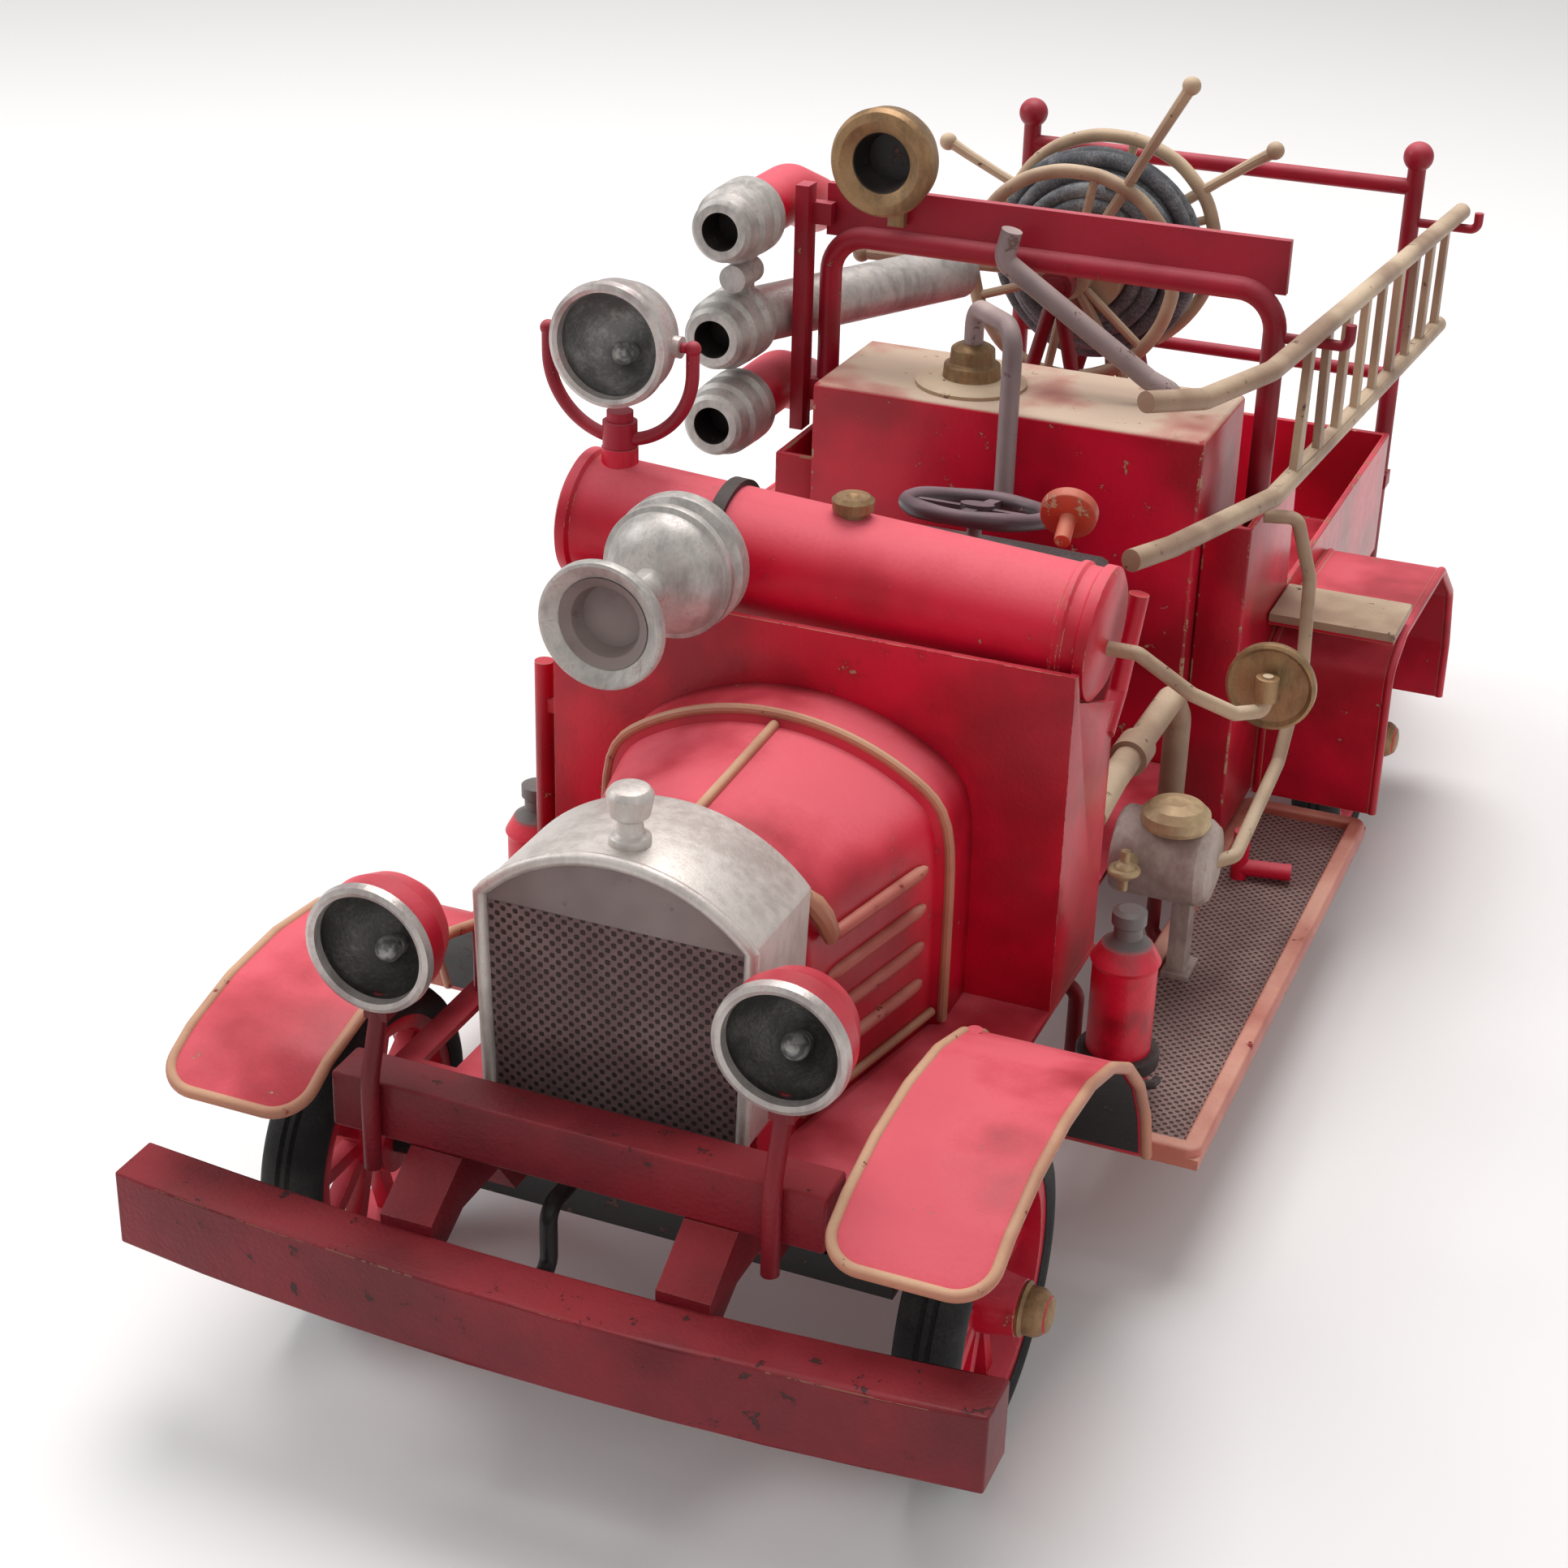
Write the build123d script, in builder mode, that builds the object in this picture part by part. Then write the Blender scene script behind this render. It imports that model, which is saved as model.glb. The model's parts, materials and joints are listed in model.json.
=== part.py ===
"""Toy fire engine of painted tin plate, built as separate pieces that fit together.

Lengths are millimetres.  +X is the driver's left, +Y runs rearwards, +Z is up and the
tyres stand on z = 0.  Positions along the vehicle are given as distances behind the
front face of the bumper and turned into Y by back().
"""
import math
import os

from build123d import *

# Overall layout
FRONT = -208.4            # Y of the bumper's front face
ASIDE = -1.7              # the mirror stands out on the left, so all is set over to the right
SHEET = 1.5               # tin sheet, folded double at the edges

# Bumper and frame
BUMPER_HALF = 80.0
BUMPER_BOW = 5.0
BUMPER_DEPTH = 10.9
BUMPER_Z = 33.0
BUMPER_HEIGHT = 15.0
RAIL_X = 20.7
RAIL_WIDTH = 9.8
RAIL_TOP = 49.0
RAIL_REAR = 398.0
BEAM_HALF = 45.7
CRANK = (-9.0, 44.5)      # side position and height of the crank's shaft
CRANK_R = 1.6

# Wheels
WHEEL_R = 30.0
RIM_R = 24.5
TYRE_WIDTH = 12.0
HUB_R = 6.0
SPINDLE_R = 2.0
RUNNING_FIT = 0.05
FRONT_WHEEL = (61.0, 52.0)
REAR_WHEEL = (69.0, 312.0)
SPOKES = 10

# Body
FLOOR_TOP = 50.5
RADIATOR_Y = 34.0
RADIATOR_DEPTH = 24.0
HOOD_REAR = 106.0
DASH_Y = 116.0
DASH_HALF = 52.8
DASH_TOP = 120.6
TANK_Y = 131.0
TANK_Z = 129.5
TANK_R = 12.0
TANK_HALF = 54.5
TANK_LEAN = 3.4
BOX_FRONT = 231.5
BOX_REAR = 268.0
BOX_HALF = 45.5
BOX_TOP = 128.0
BAR_Y = 258.4
BAR_HALF = 52.4
BAR_Z = 155.0
BAR_R = 2.6
BOARD_TOP = 28.0
POST_Y = 413.0
POST_HALF = 53.5

# Lamps, reel and ladder
LAMP_X = 37.0
LAMP_Y = 22.0
LAMP_Z = 94.0
LAMP_R = 11.6
SPOT = (-45.5, 131.0, 166.0)
SPOT_R = 12.0
REEL_X = -14.0
REEL_Z = 133.5
REEL_NEAR = 325.0
REEL_FAR = 358.0
LADDER_R = 2.2
RUNGS = 9


def back(distance):
    """Y of a point this far behind the bumper's front face."""
    return FRONT + distance


def spot(x, distance, z):
    """A point given by its distance behind the bumper."""
    return (x, back(distance), z)


def wall(distance):
    """Upright plane across the vehicle; extruding by a minus amount goes rearwards."""
    return Plane.XZ.offset(-back(distance))


def rod(points, radius, bend=0.0):
    """Round bar or tube along the points, with bends of the given radius."""
    with BuildLine() as run:
        if bend and len(points) > 2:
            FilletPolyline(*points, radius=bend)
        else:
            Polyline(*points)
    with BuildSketch(Plane(origin=run.line @ 0, z_dir=run.line % 0)) as section:
        Circle(radius)
    sweep(sections=section.sketch, path=run.line)


def ribbon(points, width, thickness, bend):
    """Flat strip folded along the points, which all share one X."""
    with BuildLine() as run:
        FilletPolyline(*points, radius=bend)
    start = Plane(origin=run.line @ 0, x_dir=(1, 0, 0), z_dir=run.line % 0)
    with BuildSketch(start) as section:
        Rectangle(width, thickness)
    sweep(sections=section.sketch, path=run.line)


def turned(centre, axis, outline):
    """Solid of revolution: outline is (along, radius) pairs about an axis through centre."""
    along = Vector(*axis)
    across = Vector(0, 0, 1) if abs(axis[2]) < 0.5 else Vector(1, 0, 0)
    across = (across - along * across.dot(along)).normalized()
    face = Plane(origin=centre, x_dir=along, z_dir=along.cross(across))
    with BuildSketch(face) as section:
        with BuildLine():
            Polyline(*outline, close=True)
        make_face()
    revolve(profiles=section.sketch, axis=Axis(centre, axis))


def arch(half_low, half_high, low, spring, apex):
    """Face with straight sides and an arched top, drawn in the current sketch."""
    with BuildLine() as edge:
        Polyline((half_high, spring), (half_low, low), (-half_low, low), (-half_high, spring))
        ThreePointArc((-half_high, spring), (0, apex), (half_high, spring))
    make_face(edge.edges())


def save(piece, name):
    """Set the finished piece over to the shared centre, label it and write its file."""
    placed = piece.part.moved(Location((ASIDE, 0, 0)))
    placed.label = name
    export_step(placed, f"parts/{name}.step")


# ---------------------------------------------------------------- frame and running gear
def make_chassis():
    kick = [(6, 50), (17, 57), (32, 57), (38, RAIL_TOP), (RAIL_REAR, RAIL_TOP),
            (RAIL_REAR, RAIL_TOP - 10), (36, RAIL_TOP - 10), (30, 47), (17, 47), (6, 41)]
    with BuildPart() as frame:
        with BuildSketch(Plane.YZ.offset(RAIL_X)):
            with BuildLine():
                Polyline(*[(back(y), z) for y, z in kick], close=True)
            make_face()
        extrude(amount=RAIL_WIDTH)
        mirror(about=Plane.YZ)
        for distance in (52, 150, 240, 312, 394):
            with Locations(spot(0, distance, RAIL_TOP - 5)):
                Box(2 * RAIL_X + 2, 8, 7)
        for side in (-1, 1):
            for distance in (140, 200, 252):
                inner = side * (RAIL_X + RAIL_WIDTH - 1)
                rod([spot(inner, distance, 43), spot(side * 51.5, distance, 43),
                     spot(side * 51.5, distance, 23.4), spot(side * 78, distance, 23.4)], 1.6, 3)
        with Locations(spot(CRANK[0], 52, CRANK[1])):
            Cylinder(CRANK_R + RUNNING_FIT, 10, rotation=(90, 0, 0), mode=Mode.SUBTRACT)
    return frame


def make_bumper():
    with BuildPart() as bumper:
        with BuildSketch(Plane.XY.offset(BUMPER_Z)):
            with BuildLine():
                ThreePointArc((-BUMPER_HALF, back(0)), (0, back(-BUMPER_BOW)), (BUMPER_HALF, back(0)))
                Line((BUMPER_HALF, back(0)), (BUMPER_HALF, back(BUMPER_DEPTH)))
                ThreePointArc((BUMPER_HALF, back(BUMPER_DEPTH)),
                              (0, back(BUMPER_DEPTH - BUMPER_BOW)),
                              (-BUMPER_HALF, back(BUMPER_DEPTH)))
                Line((-BUMPER_HALF, back(BUMPER_DEPTH)), (-BUMPER_HALF, back(0)))
            make_face()
        extrude(amount=BUMPER_HEIGHT)
        fillet(bumper.edges(), radius=0.6)
    return bumper


def make_beam():
    with BuildPart() as beam:
        with Locations(spot(0, 21.5, 62.5)):
            Box(2 * BEAM_HALF, 9, 11)
        fillet(beam.edges(), radius=0.7)
    return beam


def make_front_axle():
    with BuildPart() as axle:
        with Locations(spot(0, FRONT_WHEEL[1], WHEEL_R)):
            Box(94, 7, 6)
            Cylinder(SPINDLE_R, 143, rotation=(0, 90, 0))
        for low, half in ((0.0, 44.0), (1.3, 34.0), (2.6, 24.0)):
            with BuildSketch(wall(FRONT_WHEEL[1] - 3)) as leaf:
                with BuildLine() as edge:
                    end = 32.8 + (44.0 - half) * 0.07
                    ThreePointArc((-half, end + low), (0, 35 + low), (half, end + low))
                    Line((half, end + low), (half, end + low + 1.3))
                    ThreePointArc((half, end + low + 1.3), (0, 36.3 + low), (-half, end + low + 1.3))
                    Line((-half, end + low + 1.3), (-half, end + low))
                make_face(edge.edges())
            extrude(to_extrude=leaf.sketch, amount=-6)
        with Locations(spot(0, FRONT_WHEEL[1], 38.25)):
            Box(10, 8, 4.5)
    return axle


def make_rear_axle():
    with BuildPart() as axle:
        turned(spot(0, REAR_WHEEL[1], WHEEL_R), (1, 0, 0),
               [(-79.5, 0), (-79.5, SPINDLE_R), (-52, SPINDLE_R), (-52, 4), (-8, 4), (-4, 8),
                (4, 8), (8, 4), (52, 4), (52, SPINDLE_R), (79.5, SPINDLE_R), (79.5, 0)])
        for side in (-1, 1):
            with Locations(spot(side * (RAIL_X + RAIL_WIDTH / 2), REAR_WHEEL[1], 35)):
                Box(6, 14, 8)
    return axle


def make_wheel(centre_x, distance):
    outward = 1 if centre_x > 0 else -1
    centre = spot(centre_x, distance, WHEEL_R)
    disc = Plane.YZ.offset(centre_x - TYRE_WIDTH / 2 + 1)
    with BuildPart() as wheel:
        with BuildSketch(disc):
            with Locations((back(distance), WHEEL_R)):
                Circle(RIM_R)
                Circle(RIM_R - 3, mode=Mode.SUBTRACT)
        extrude(amount=TYRE_WIDTH - 2)
        with BuildSketch(Plane.YZ.offset(centre_x - 1.6)):
            with Locations((back(distance), WHEEL_R)):
                with PolarLocations((RIM_R + HUB_R) / 2 - 1, SPOKES):
                    Rectangle(RIM_R - HUB_R, 2.9)
        extrude(amount=3.2)
        turned(centre, (outward, 0, 0),
               [(-7, 0), (-7, HUB_R), (3, HUB_R), (7.2, 5.2), (8.5, 5.2), (9, 4.2), (12.2, 4.2),
                (13.6, 3.2), (14, 0)])
        with Locations((centre_x + outward * 2.2, back(distance), WHEEL_R)):
            Cylinder(SPINDLE_R + RUNNING_FIT, 18.8, rotation=(0, 90, 0), mode=Mode.SUBTRACT)
    return wheel


def make_tyre(centre_x, distance):
    centre = spot(centre_x, distance, WHEEL_R)
    with BuildPart() as tyre:
        with BuildSketch(Plane(origin=centre, x_dir=(1, 0, 0), z_dir=(0, -1, 0))) as section:
            with Locations((0, (RIM_R + WHEEL_R) / 2)):
                Rectangle(TYRE_WIDTH, WHEEL_R - RIM_R)
            fillet(section.vertices().group_by(Axis.Y)[-1], radius=3.5)
        revolve(axis=Axis(centre, (1, 0, 0)))
    return tyre


def make_crank():
    with BuildPart() as crank:
        x, height = CRANK
        rod([spot(x, 18, 32), spot(x, 26, 32), spot(x, 26, height), spot(x, 62, height)], CRANK_R, 3)
        with Locations(spot(x, 14.5, 32)):
            Cylinder(2.4, 12, rotation=(90, 0, 0))
    return crank


# ---------------------------------------------------------------- fenders and boards
FENDER_LINE = [(9, 62), (20, 67.6), (33, 71), (48, 72.2), (63, 70.8), (77, 66.4), (89, 59.4),
               (99, 50), (106.4, 39), (110.6, 27.4)]
FENDER_X = (48.0, 75.5)


def make_front_fenders():
    centre = sum(FENDER_X) / 2
    width = FENDER_X[1] - FENDER_X[0]
    corner = 7.0
    with BuildPart() as fenders:
        ribbon([spot(centre, y, z) for y, z in FENDER_LINE], width, 1.2, 16)
        with BuildSketch(Plane.XY.offset(55)) as tips:
            for edge, inward in ((FENDER_X[0], 1), (FENDER_X[1], -1)):
                with Locations((edge + inward * (corner / 2 - 1), back(9 + corner / 2 - 1))):
                    Rectangle(corner + 2, corner + 2)
                with Locations((edge + inward * corner, back(9 + corner))):
                    Circle(corner, mode=Mode.SUBTRACT)
        extrude(to_extrude=tips.sketch, amount=20, mode=Mode.SUBTRACT)
        mirror(about=Plane.YZ)
    return fenders


def make_fender_beads():
    loop = [spot(FENDER_X[0], y, z) for y, z in reversed(FENDER_LINE)]
    loop += [spot(FENDER_X[1], y, z) for y, z in FENDER_LINE]
    with BuildPart() as beads:
        rod(loop, 1.1, 6.5)
        mirror(about=Plane.YZ)
    return beads


def make_running_boards():
    length = 154.0
    middle = back(113 + length / 2)
    with BuildPart() as boards:
        with Locations((70, middle, BOARD_TOP - 1.9)):
            Box(30, length, 2.2)
        with BuildSketch(Plane.XY.offset(BOARD_TOP - 1)):
            with Locations((70, middle)):
                RectangleRounded(30, length, 3)
                Rectangle(22.4, length - 7, mode=Mode.SUBTRACT)
        extrude(amount=2.4)
        top = boards.faces().group_by(Axis.Z)[-1]
        fillet(top.edges(), radius=1.0)
        mirror(about=Plane.YZ)
        rod([spot(63.5, 229, 26.4), spot(63.5, 229, 39)], 1.8)
        rod([spot(63.5, 229, 30), spot(75, 231, 30)], 1.8)
    return boards


REAR_LINE = [(268.6, 30.2), (267, 67), (280, 72), (330, 70), (350, 57), (357, 40), (358, 24)]


def make_rear_fenders():
    with BuildPart() as fenders:
        ribbon([spot(71.4, y, z) for y, z in REAR_LINE], 29.8, 1.4, 6)
        for edge in (57.7, 85.6):
            rod([spot(edge, y, z) for y, z in REAR_LINE], 1.1, 6)
        with Locations(spot(71.5, 274.5, 76.4)):
            Box(29, 20, 2.4)
        for distance in (277, 282):
            with Locations(spot(71, distance, 73.6)):
                Box(20, 3, 4)
        mirror(about=Plane.YZ)
    return fenders


# ---------------------------------------------------------------- radiator, hood, dash
def make_radiator_shell():
    with BuildPart() as shell:
        with BuildSketch(wall(RADIATOR_Y)):
            arch(24, 25.5, 60, 100, 111.5)
        extrude(amount=-RADIATOR_DEPTH)
        with BuildSketch(wall(RADIATOR_Y + 3)):
            arch(22.2, 23.7, 58, 98.8, 109.4)
        extrude(amount=-RADIATOR_DEPTH, mode=Mode.SUBTRACT)
        with BuildSketch(wall(RADIATOR_Y - 1)):
            with BuildLine():
                Polyline((-21.2, 62), (21.2, 62), (22.6, 98.6), (-22.6, 98.6), close=True)
            make_face()
        extrude(amount=-5, mode=Mode.SUBTRACT)
    return shell


def make_grille():
    with BuildPart() as grille:
        with BuildSketch(wall(RADIATOR_Y + 1.6)):
            with BuildLine():
                Polyline((-21.2, 62), (21.2, 62), (22.6, 98.6), (-22.6, 98.6), close=True)
            make_face()
        extrude(amount=-1.2)
    return grille


def make_radiator_cap():
    with BuildPart() as cap:
        turned(spot(0, 40, 111.2), (0, 0, 1),
               [(0, 0), (0, 3.6), (1.6, 3.6), (2.2, 2.4), (4.6, 2.1), (5.4, 3.4), (9.2, 4.1),
                (10.4, 3.3), (10.6, 0)])
    return cap


def hood_section(distance, inset):
    share = (distance - 58) / (HOOD_REAR - 58)
    half = 24 + 10 * share - inset
    arch(half, half, FLOOR_TOP, 88 + 6 * share - inset / 2, 104.2 + 2.4 * share - inset)


def make_hood():
    with BuildPart() as hood:
        for inset, mode in ((0, Mode.ADD), (SHEET, Mode.SUBTRACT)):
            with BuildSketch(wall(58)) as front:
                hood_section(58, inset)
            with BuildSketch(wall(HOOD_REAR)) as rear:
                hood_section(HOOD_REAR, inset)
            loft(sections=[front.sketch, rear.sketch], mode=mode)
        with BuildSketch(wall(104)) as collar:
            arch(35.3, 35.3, FLOOR_TOP, 94.5, 108.6)
        extrude(to_extrude=collar.sketch, amount=-(DASH_Y - 104))
        with BuildSketch(wall(103)) as inside:
            arch(31.6, 31.6, FLOOR_TOP - 1, 91, 104.4)
        extrude(to_extrude=inside.sketch, amount=-20, mode=Mode.SUBTRACT)
        for side in (-1, 1):
            for level in range(4):
                height = 62 + 8 * level
                ends = [(side * (24.1 + 10 * (y - 58) / 48), y) for y in (67, 97)]
                rod([spot(x, y, height) for x, y in ends], 1.3)
    return hood


def make_hood_trim():
    with BuildPart() as trim:
        rod([spot(0, 58.6, 104.5), spot(0, 103.9, 106.8)], 0.9)
        for side in (-1, 1):
            rod([spot(side * 24.4, 58.6, 54), spot(side * 33.8, 103.9, 54)], 0.9)
            with Locations(spot(side * 26.6, 63, 92)):
                Box(2.4, 7, 3)
        with BuildSketch(wall(102.4)) as ring:
            arch(36.2, 36.2, FLOOR_TOP, 95, 109.6)
            arch(33.4, 33.4, FLOOR_TOP - 3, 93, 106.2)
        with BuildSketch(wall(102.4)) as hole:
            arch(33.4, 33.4, FLOOR_TOP - 3, 93, 106.2)
        extrude(to_extrude=(ring.sketch - hole.sketch), amount=-1.6)
    return trim


def make_floor_pan():
    with BuildPart() as floor:
        with Locations(spot(0, 92.5, FLOOR_TOP - 0.75)):
            Box(2 * DASH_HALF, 107, SHEET)
        with Locations(spot(0, 191.4, FLOOR_TOP - 0.75)):
            Box(92, 90.8, SHEET)
        with Locations(spot(0, 49, 55.2)):
            Box(48, 18, 9.6)
        for side in (-1, 1):
            with Locations(spot(side * 44, 62, FLOOR_TOP)):
                Box(7, 22, 6, mode=Mode.SUBTRACT)
            rod([spot(side * 49.8, 78, 50), spot(side * 49.8, 78, 67.8)], 1.4)
    return floor


def make_dash():
    with BuildPart() as dash:
        with Locations(spot(0, DASH_Y + 0.75, (FLOOR_TOP + DASH_TOP) / 2)):
            Box(2 * DASH_HALF, SHEET, DASH_TOP - FLOOR_TOP)
        with BuildSketch(Plane.YZ.offset(DASH_HALF - SHEET)):
            with BuildLine():
                Polyline((back(DASH_Y), FLOOR_TOP), (back(DASH_Y), DASH_TOP),
                         (back(DASH_Y + 2), DASH_TOP), (back(DASH_Y + 4), 114),
                         (back(145), 104), (back(145), FLOOR_TOP), close=True)
            make_face()
        extrude(amount=SHEET)
        mirror(about=Plane.YZ)
        for side in (-1, 1):
            with Locations(spot(side * 40, 124, 112)):
                Box(6, 16, 10)
            with Locations(spot(side * 40, TANK_Y, tank_height(side * 40))):
                Cylinder(TANK_R, 8, rotation=(0, 90 + TANK_LEAN, 0), mode=Mode.SUBTRACT)
        rod([spot(-57.4, 121, 55), spot(-57.4, 121, 101)], 2.0)
        with Locations(spot(-54.4, 121, 92), spot(-54.4, 121, 62)):
            Box(5, 3, 3)
        rod([spot(51.8, 143, 98), spot(51.8, 150, 104), spot(54, 152, 124)], 2.0, 3)
    return dash


# ---------------------------------------------------------------- cross tank and its fittings
def tank_height(x):
    """Height of the leaning tank's axis, which is level with TANK_Z at the searchlight."""
    return TANK_Z - (x - SPOT[0]) * math.tan(math.radians(TANK_LEAN))


def make_tank():
    lean = math.radians(TANK_LEAN)
    centre = spot(0, TANK_Y, tank_height(0))
    half = TANK_HALF
    with BuildPart() as tank:
        turned(centre, (math.cos(lean), 0, -math.sin(lean)),
               [(-half, 0), (-half, 11), (-half + 1, 12.8), (-half + 3, 12.8), (-half + 3.6, TANK_R),
                (half - 8, TANK_R), (half - 7.4, 12.6), (half - 6.4, 12.6), (half - 5.8, TANK_R),
                (half - 3.6, TANK_R), (half - 3, 12.8), (half - 1, 12.8), (half, 11), (half, 0)])
        with Locations((SPOT[0], back(SPOT[1]), 142.5)):
            Cylinder(3.6, 4)
        with Locations((SPOT[0], back(SPOT[1]), 146.5)):
            Cylinder(2.0, 5)
    return tank


def make_tank_cap():
    with BuildPart() as cap:
        turned(spot(3, TANK_Y, tank_height(3) + 11.4), (0, 0, 1),
               [(0, 0), (0, 2.6), (1.2, 2.6), (1.6, 3.9), (3.6, 4.1), (4.4, 3.2), (4.4, 1.5), (3.4, 0)])
    return cap


def make_siren():
    centre = spot(-22, 0, 133)
    with BuildPart() as siren:
        turned(centre, (0, 1, 0),
               [(79.6, 0), (79.4, 6.0), (76.2, 7.0), (74.6, 9.4), (73.4, 11.2), (73.4, 11.9),
                (75.2, 12.1), (78.2, 10.4), (81, 8), (82.6, 5), (84.4, 3.6), (94.6, 3.3),
                (95.2, 6), (96.4, 8.4), (98.2, 10.3), (100, 11.3), (101.4, 11.8), (101.6, 12.9),
                (103.4, 12.9), (104, 11.6), (105.6, 11.6), (106.4, 13.2), (109.6, 13.2),
                (110.6, 11.8), (112, 9), (112, 4), (119, 4), (119, 0)])
        with Locations(spot(-22, TANK_Y, tank_height(-22))):
            Cylinder(TANK_R + 1, 2.4, rotation=(0, 90 + TANK_LEAN, 0))
            Cylinder(TANK_R, 8, rotation=(0, 90 + TANK_LEAN, 0), mode=Mode.SUBTRACT)
    return siren


# ---------------------------------------------------------------- lamps
def lamp_bowl(centre, radius):
    """Hollow lamp bowl that opens forwards."""
    r = radius
    turned(centre, (0, 1, 0),
           [(-0.36 * r, 0.9 * r), (-0.36 * r, 0.97 * r), (0.05 * r, 0.96 * r), (0.45 * r, 0.82 * r),
            (0.8 * r, 0.55 * r), (1.0 * r, 0.28 * r), (1.06 * r, 0), (0.52 * r, 0),
            (0.44 * r, 0.34 * r), (0.16 * r, 0.66 * r), (-0.2 * r, 0.88 * r)])


def lamp_rim(centre, radius):
    """Polished ring round the mouth of a lamp."""
    r = radius
    turned(centre, (0, 1, 0),
           [(-0.36 * r, 0.84 * r), (-0.5 * r, 0.86 * r), (-0.54 * r, 0.93 * r), (-0.5 * r, 1.0 * r),
            (-0.36 * r, 1.02 * r)])


def make_headlamp_bowls():
    with BuildPart() as bowls:
        for side in (-1, 1):
            lamp_bowl(spot(side * LAMP_X, LAMP_Y, LAMP_Z), LAMP_R)
    return bowls


def make_headlamp_rims():
    with BuildPart() as rims:
        for side in (-1, 1):
            lamp_rim(spot(side * LAMP_X, LAMP_Y, LAMP_Z), LAMP_R)
    return rims


def make_headlamp_posts():
    with BuildPart() as posts:
        for side in (-1, 1):
            rod([spot(side * LAMP_X, 15.2, 52), spot(side * LAMP_X, 15.2, 69),
                 spot(side * LAMP_X, 20.5, 84)], 1.6, 20)
            with Locations(spot(side * LAMP_X, 20.5, 81.6)):
                Box(4.4, 5, 3.8)
    return posts


def make_spot_yoke():
    x, distance, z = SPOT
    ring = 15.2
    with BuildPart() as yoke:
        with BuildLine() as bow:
            Line((-ring, 0), (-ring, -4.7))
            CenterArc((0, -4.7), ring, 180, 180)
            Line((ring, -4.7), (ring, 0))
        path = Plane(origin=spot(x, distance, z), x_dir=(1, 0, 0), z_dir=(0, -1, 0)) * bow.line
        with BuildSketch(Plane(origin=path @ 0, z_dir=path % 0)) as section:
            Circle(1.3)
        sweep(sections=section.sketch, path=path)
        with Locations(spot(x, distance, 147.2)):
            Cylinder(3.4, 5)
            Cylinder(2.0 + RUNNING_FIT, 5, mode=Mode.SUBTRACT)
        with Locations(spot(x, distance, 150.4)):
            Cylinder(2.6, 2.6)
        for side in (-1, 1):
            with Locations(spot(x + side * 13.6, distance, z)):
                Cylinder(1.0, 4.4, rotation=(0, 90, 0))
            with Locations(spot(x + side * ring, distance, z)):
                Sphere(1.6)
    return yoke


def make_spot_lamp():
    x, distance, z = SPOT
    with BuildPart() as lamp:
        lamp_bowl(spot(x, distance, z), SPOT_R)
        lamp_rim(spot(x, distance, z), SPOT_R)
        for side in (-1, 1):
            with Locations(spot(x + side * 12.0, distance, z)):
                Cylinder(2.1, 1.8, rotation=(0, 90, 0))
        for side in (-1, 1):
            with Locations(spot(x + side * 12.4, distance, z)):
                Cylinder(1.0 + RUNNING_FIT, 2.4, rotation=(0, 90, 0), mode=Mode.SUBTRACT)
    return lamp


# ---------------------------------------------------------------- driver's place
STEER_LEAN = 12.0
STEER_CENTRE = (17.0, 163.0, 130.0)


def steer_plane(along=0.0):
    lean = math.radians(STEER_LEAN)
    up = (0, math.sin(lean), math.cos(lean))
    x, distance, z = STEER_CENTRE
    origin = (x, back(distance) + along * up[1], z + along * up[2])
    return Plane(origin=origin, x_dir=(1, 0, 0), z_dir=up)


def make_steering_column():
    top = steer_plane(0.5).origin
    foot = steer_plane(-(STEER_CENTRE[2] - FLOOR_TOP) / math.cos(math.radians(STEER_LEAN))).origin
    collar = steer_plane(-5).origin
    with BuildPart() as column:
        rod([foot, top], 1.5)
        rod([foot, collar], 2.3)
    return column


def make_steering_wheel():
    with BuildPart() as wheel:
        with Locations(steer_plane(1.2)):
            Torus(14.0, 1.5)
        with BuildSketch(steer_plane(-0.2)) as arms:
            with PolarLocations(7.5, 4):
                Rectangle(13.5, 2.4)
        extrude(to_extrude=arms.sketch, amount=1.8)
        with Locations(steer_plane(0)):
            Cylinder(3.4, 4.6)
        with Locations(steer_plane(-1.2)):
            Cylinder(1.5 + RUNNING_FIT, 4.0, mode=Mode.SUBTRACT)
    return wheel


def make_knob():
    base = Vector(*spot(41, 141.5, 136))
    tip = Vector(*spot(40, 148.0, 138.5))
    axis = (tip - base).normalized()
    with BuildPart() as knob:
        rod([base, tip], 1.6)
        turned(tuple(tip), tuple(axis), [(-0.6, 0), (-0.6, 3), (0, 5.4), (2.2, 5.6), (3.2, 4.4),
                                         (3.4, 2.2), (5.4, 2.0), (6, 0)])
    return knob


MIRROR = (81.5, 146.0, 111.0)


def make_mirror_arm():
    x, distance, z = MIRROR
    with BuildPart() as arm:
        rod([spot(54.0, TANK_Y, 121), spot(60, TANK_Y, 121), spot(70, 135, 113),
             spot(77, 141, 108.0), spot(x, distance, 107.4), spot(x, distance, 109.4)], 1.4, 1.7)
        rod([spot(x, distance, 109), spot(x, distance, 114.6)], 1.0)
    return arm


def make_mirror():
    x, distance, z = MIRROR
    with BuildPart() as mirror_head:
        turned(spot(x, distance + 4.0, z), (0, 1, 0),
               [(-0.6, 0), (-0.6, 7.2), (-1.4, 8.0), (-1.0, 8.6), (0.6, 8.6), (1.2, 7.4), (1.6, 3.4),
                (1.6, 0)])
        with Locations(spot(x, distance, 112)):
            Cylinder(2.2, 4.6)
        with Locations(spot(x, distance + 2.4, 112)):
            Box(2.6, 3, 3.4)
        with Locations(spot(x, distance, 112)):
            Cylinder(1.0 + RUNNING_FIT, 6, mode=Mode.SUBTRACT)
    return mirror_head


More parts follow.
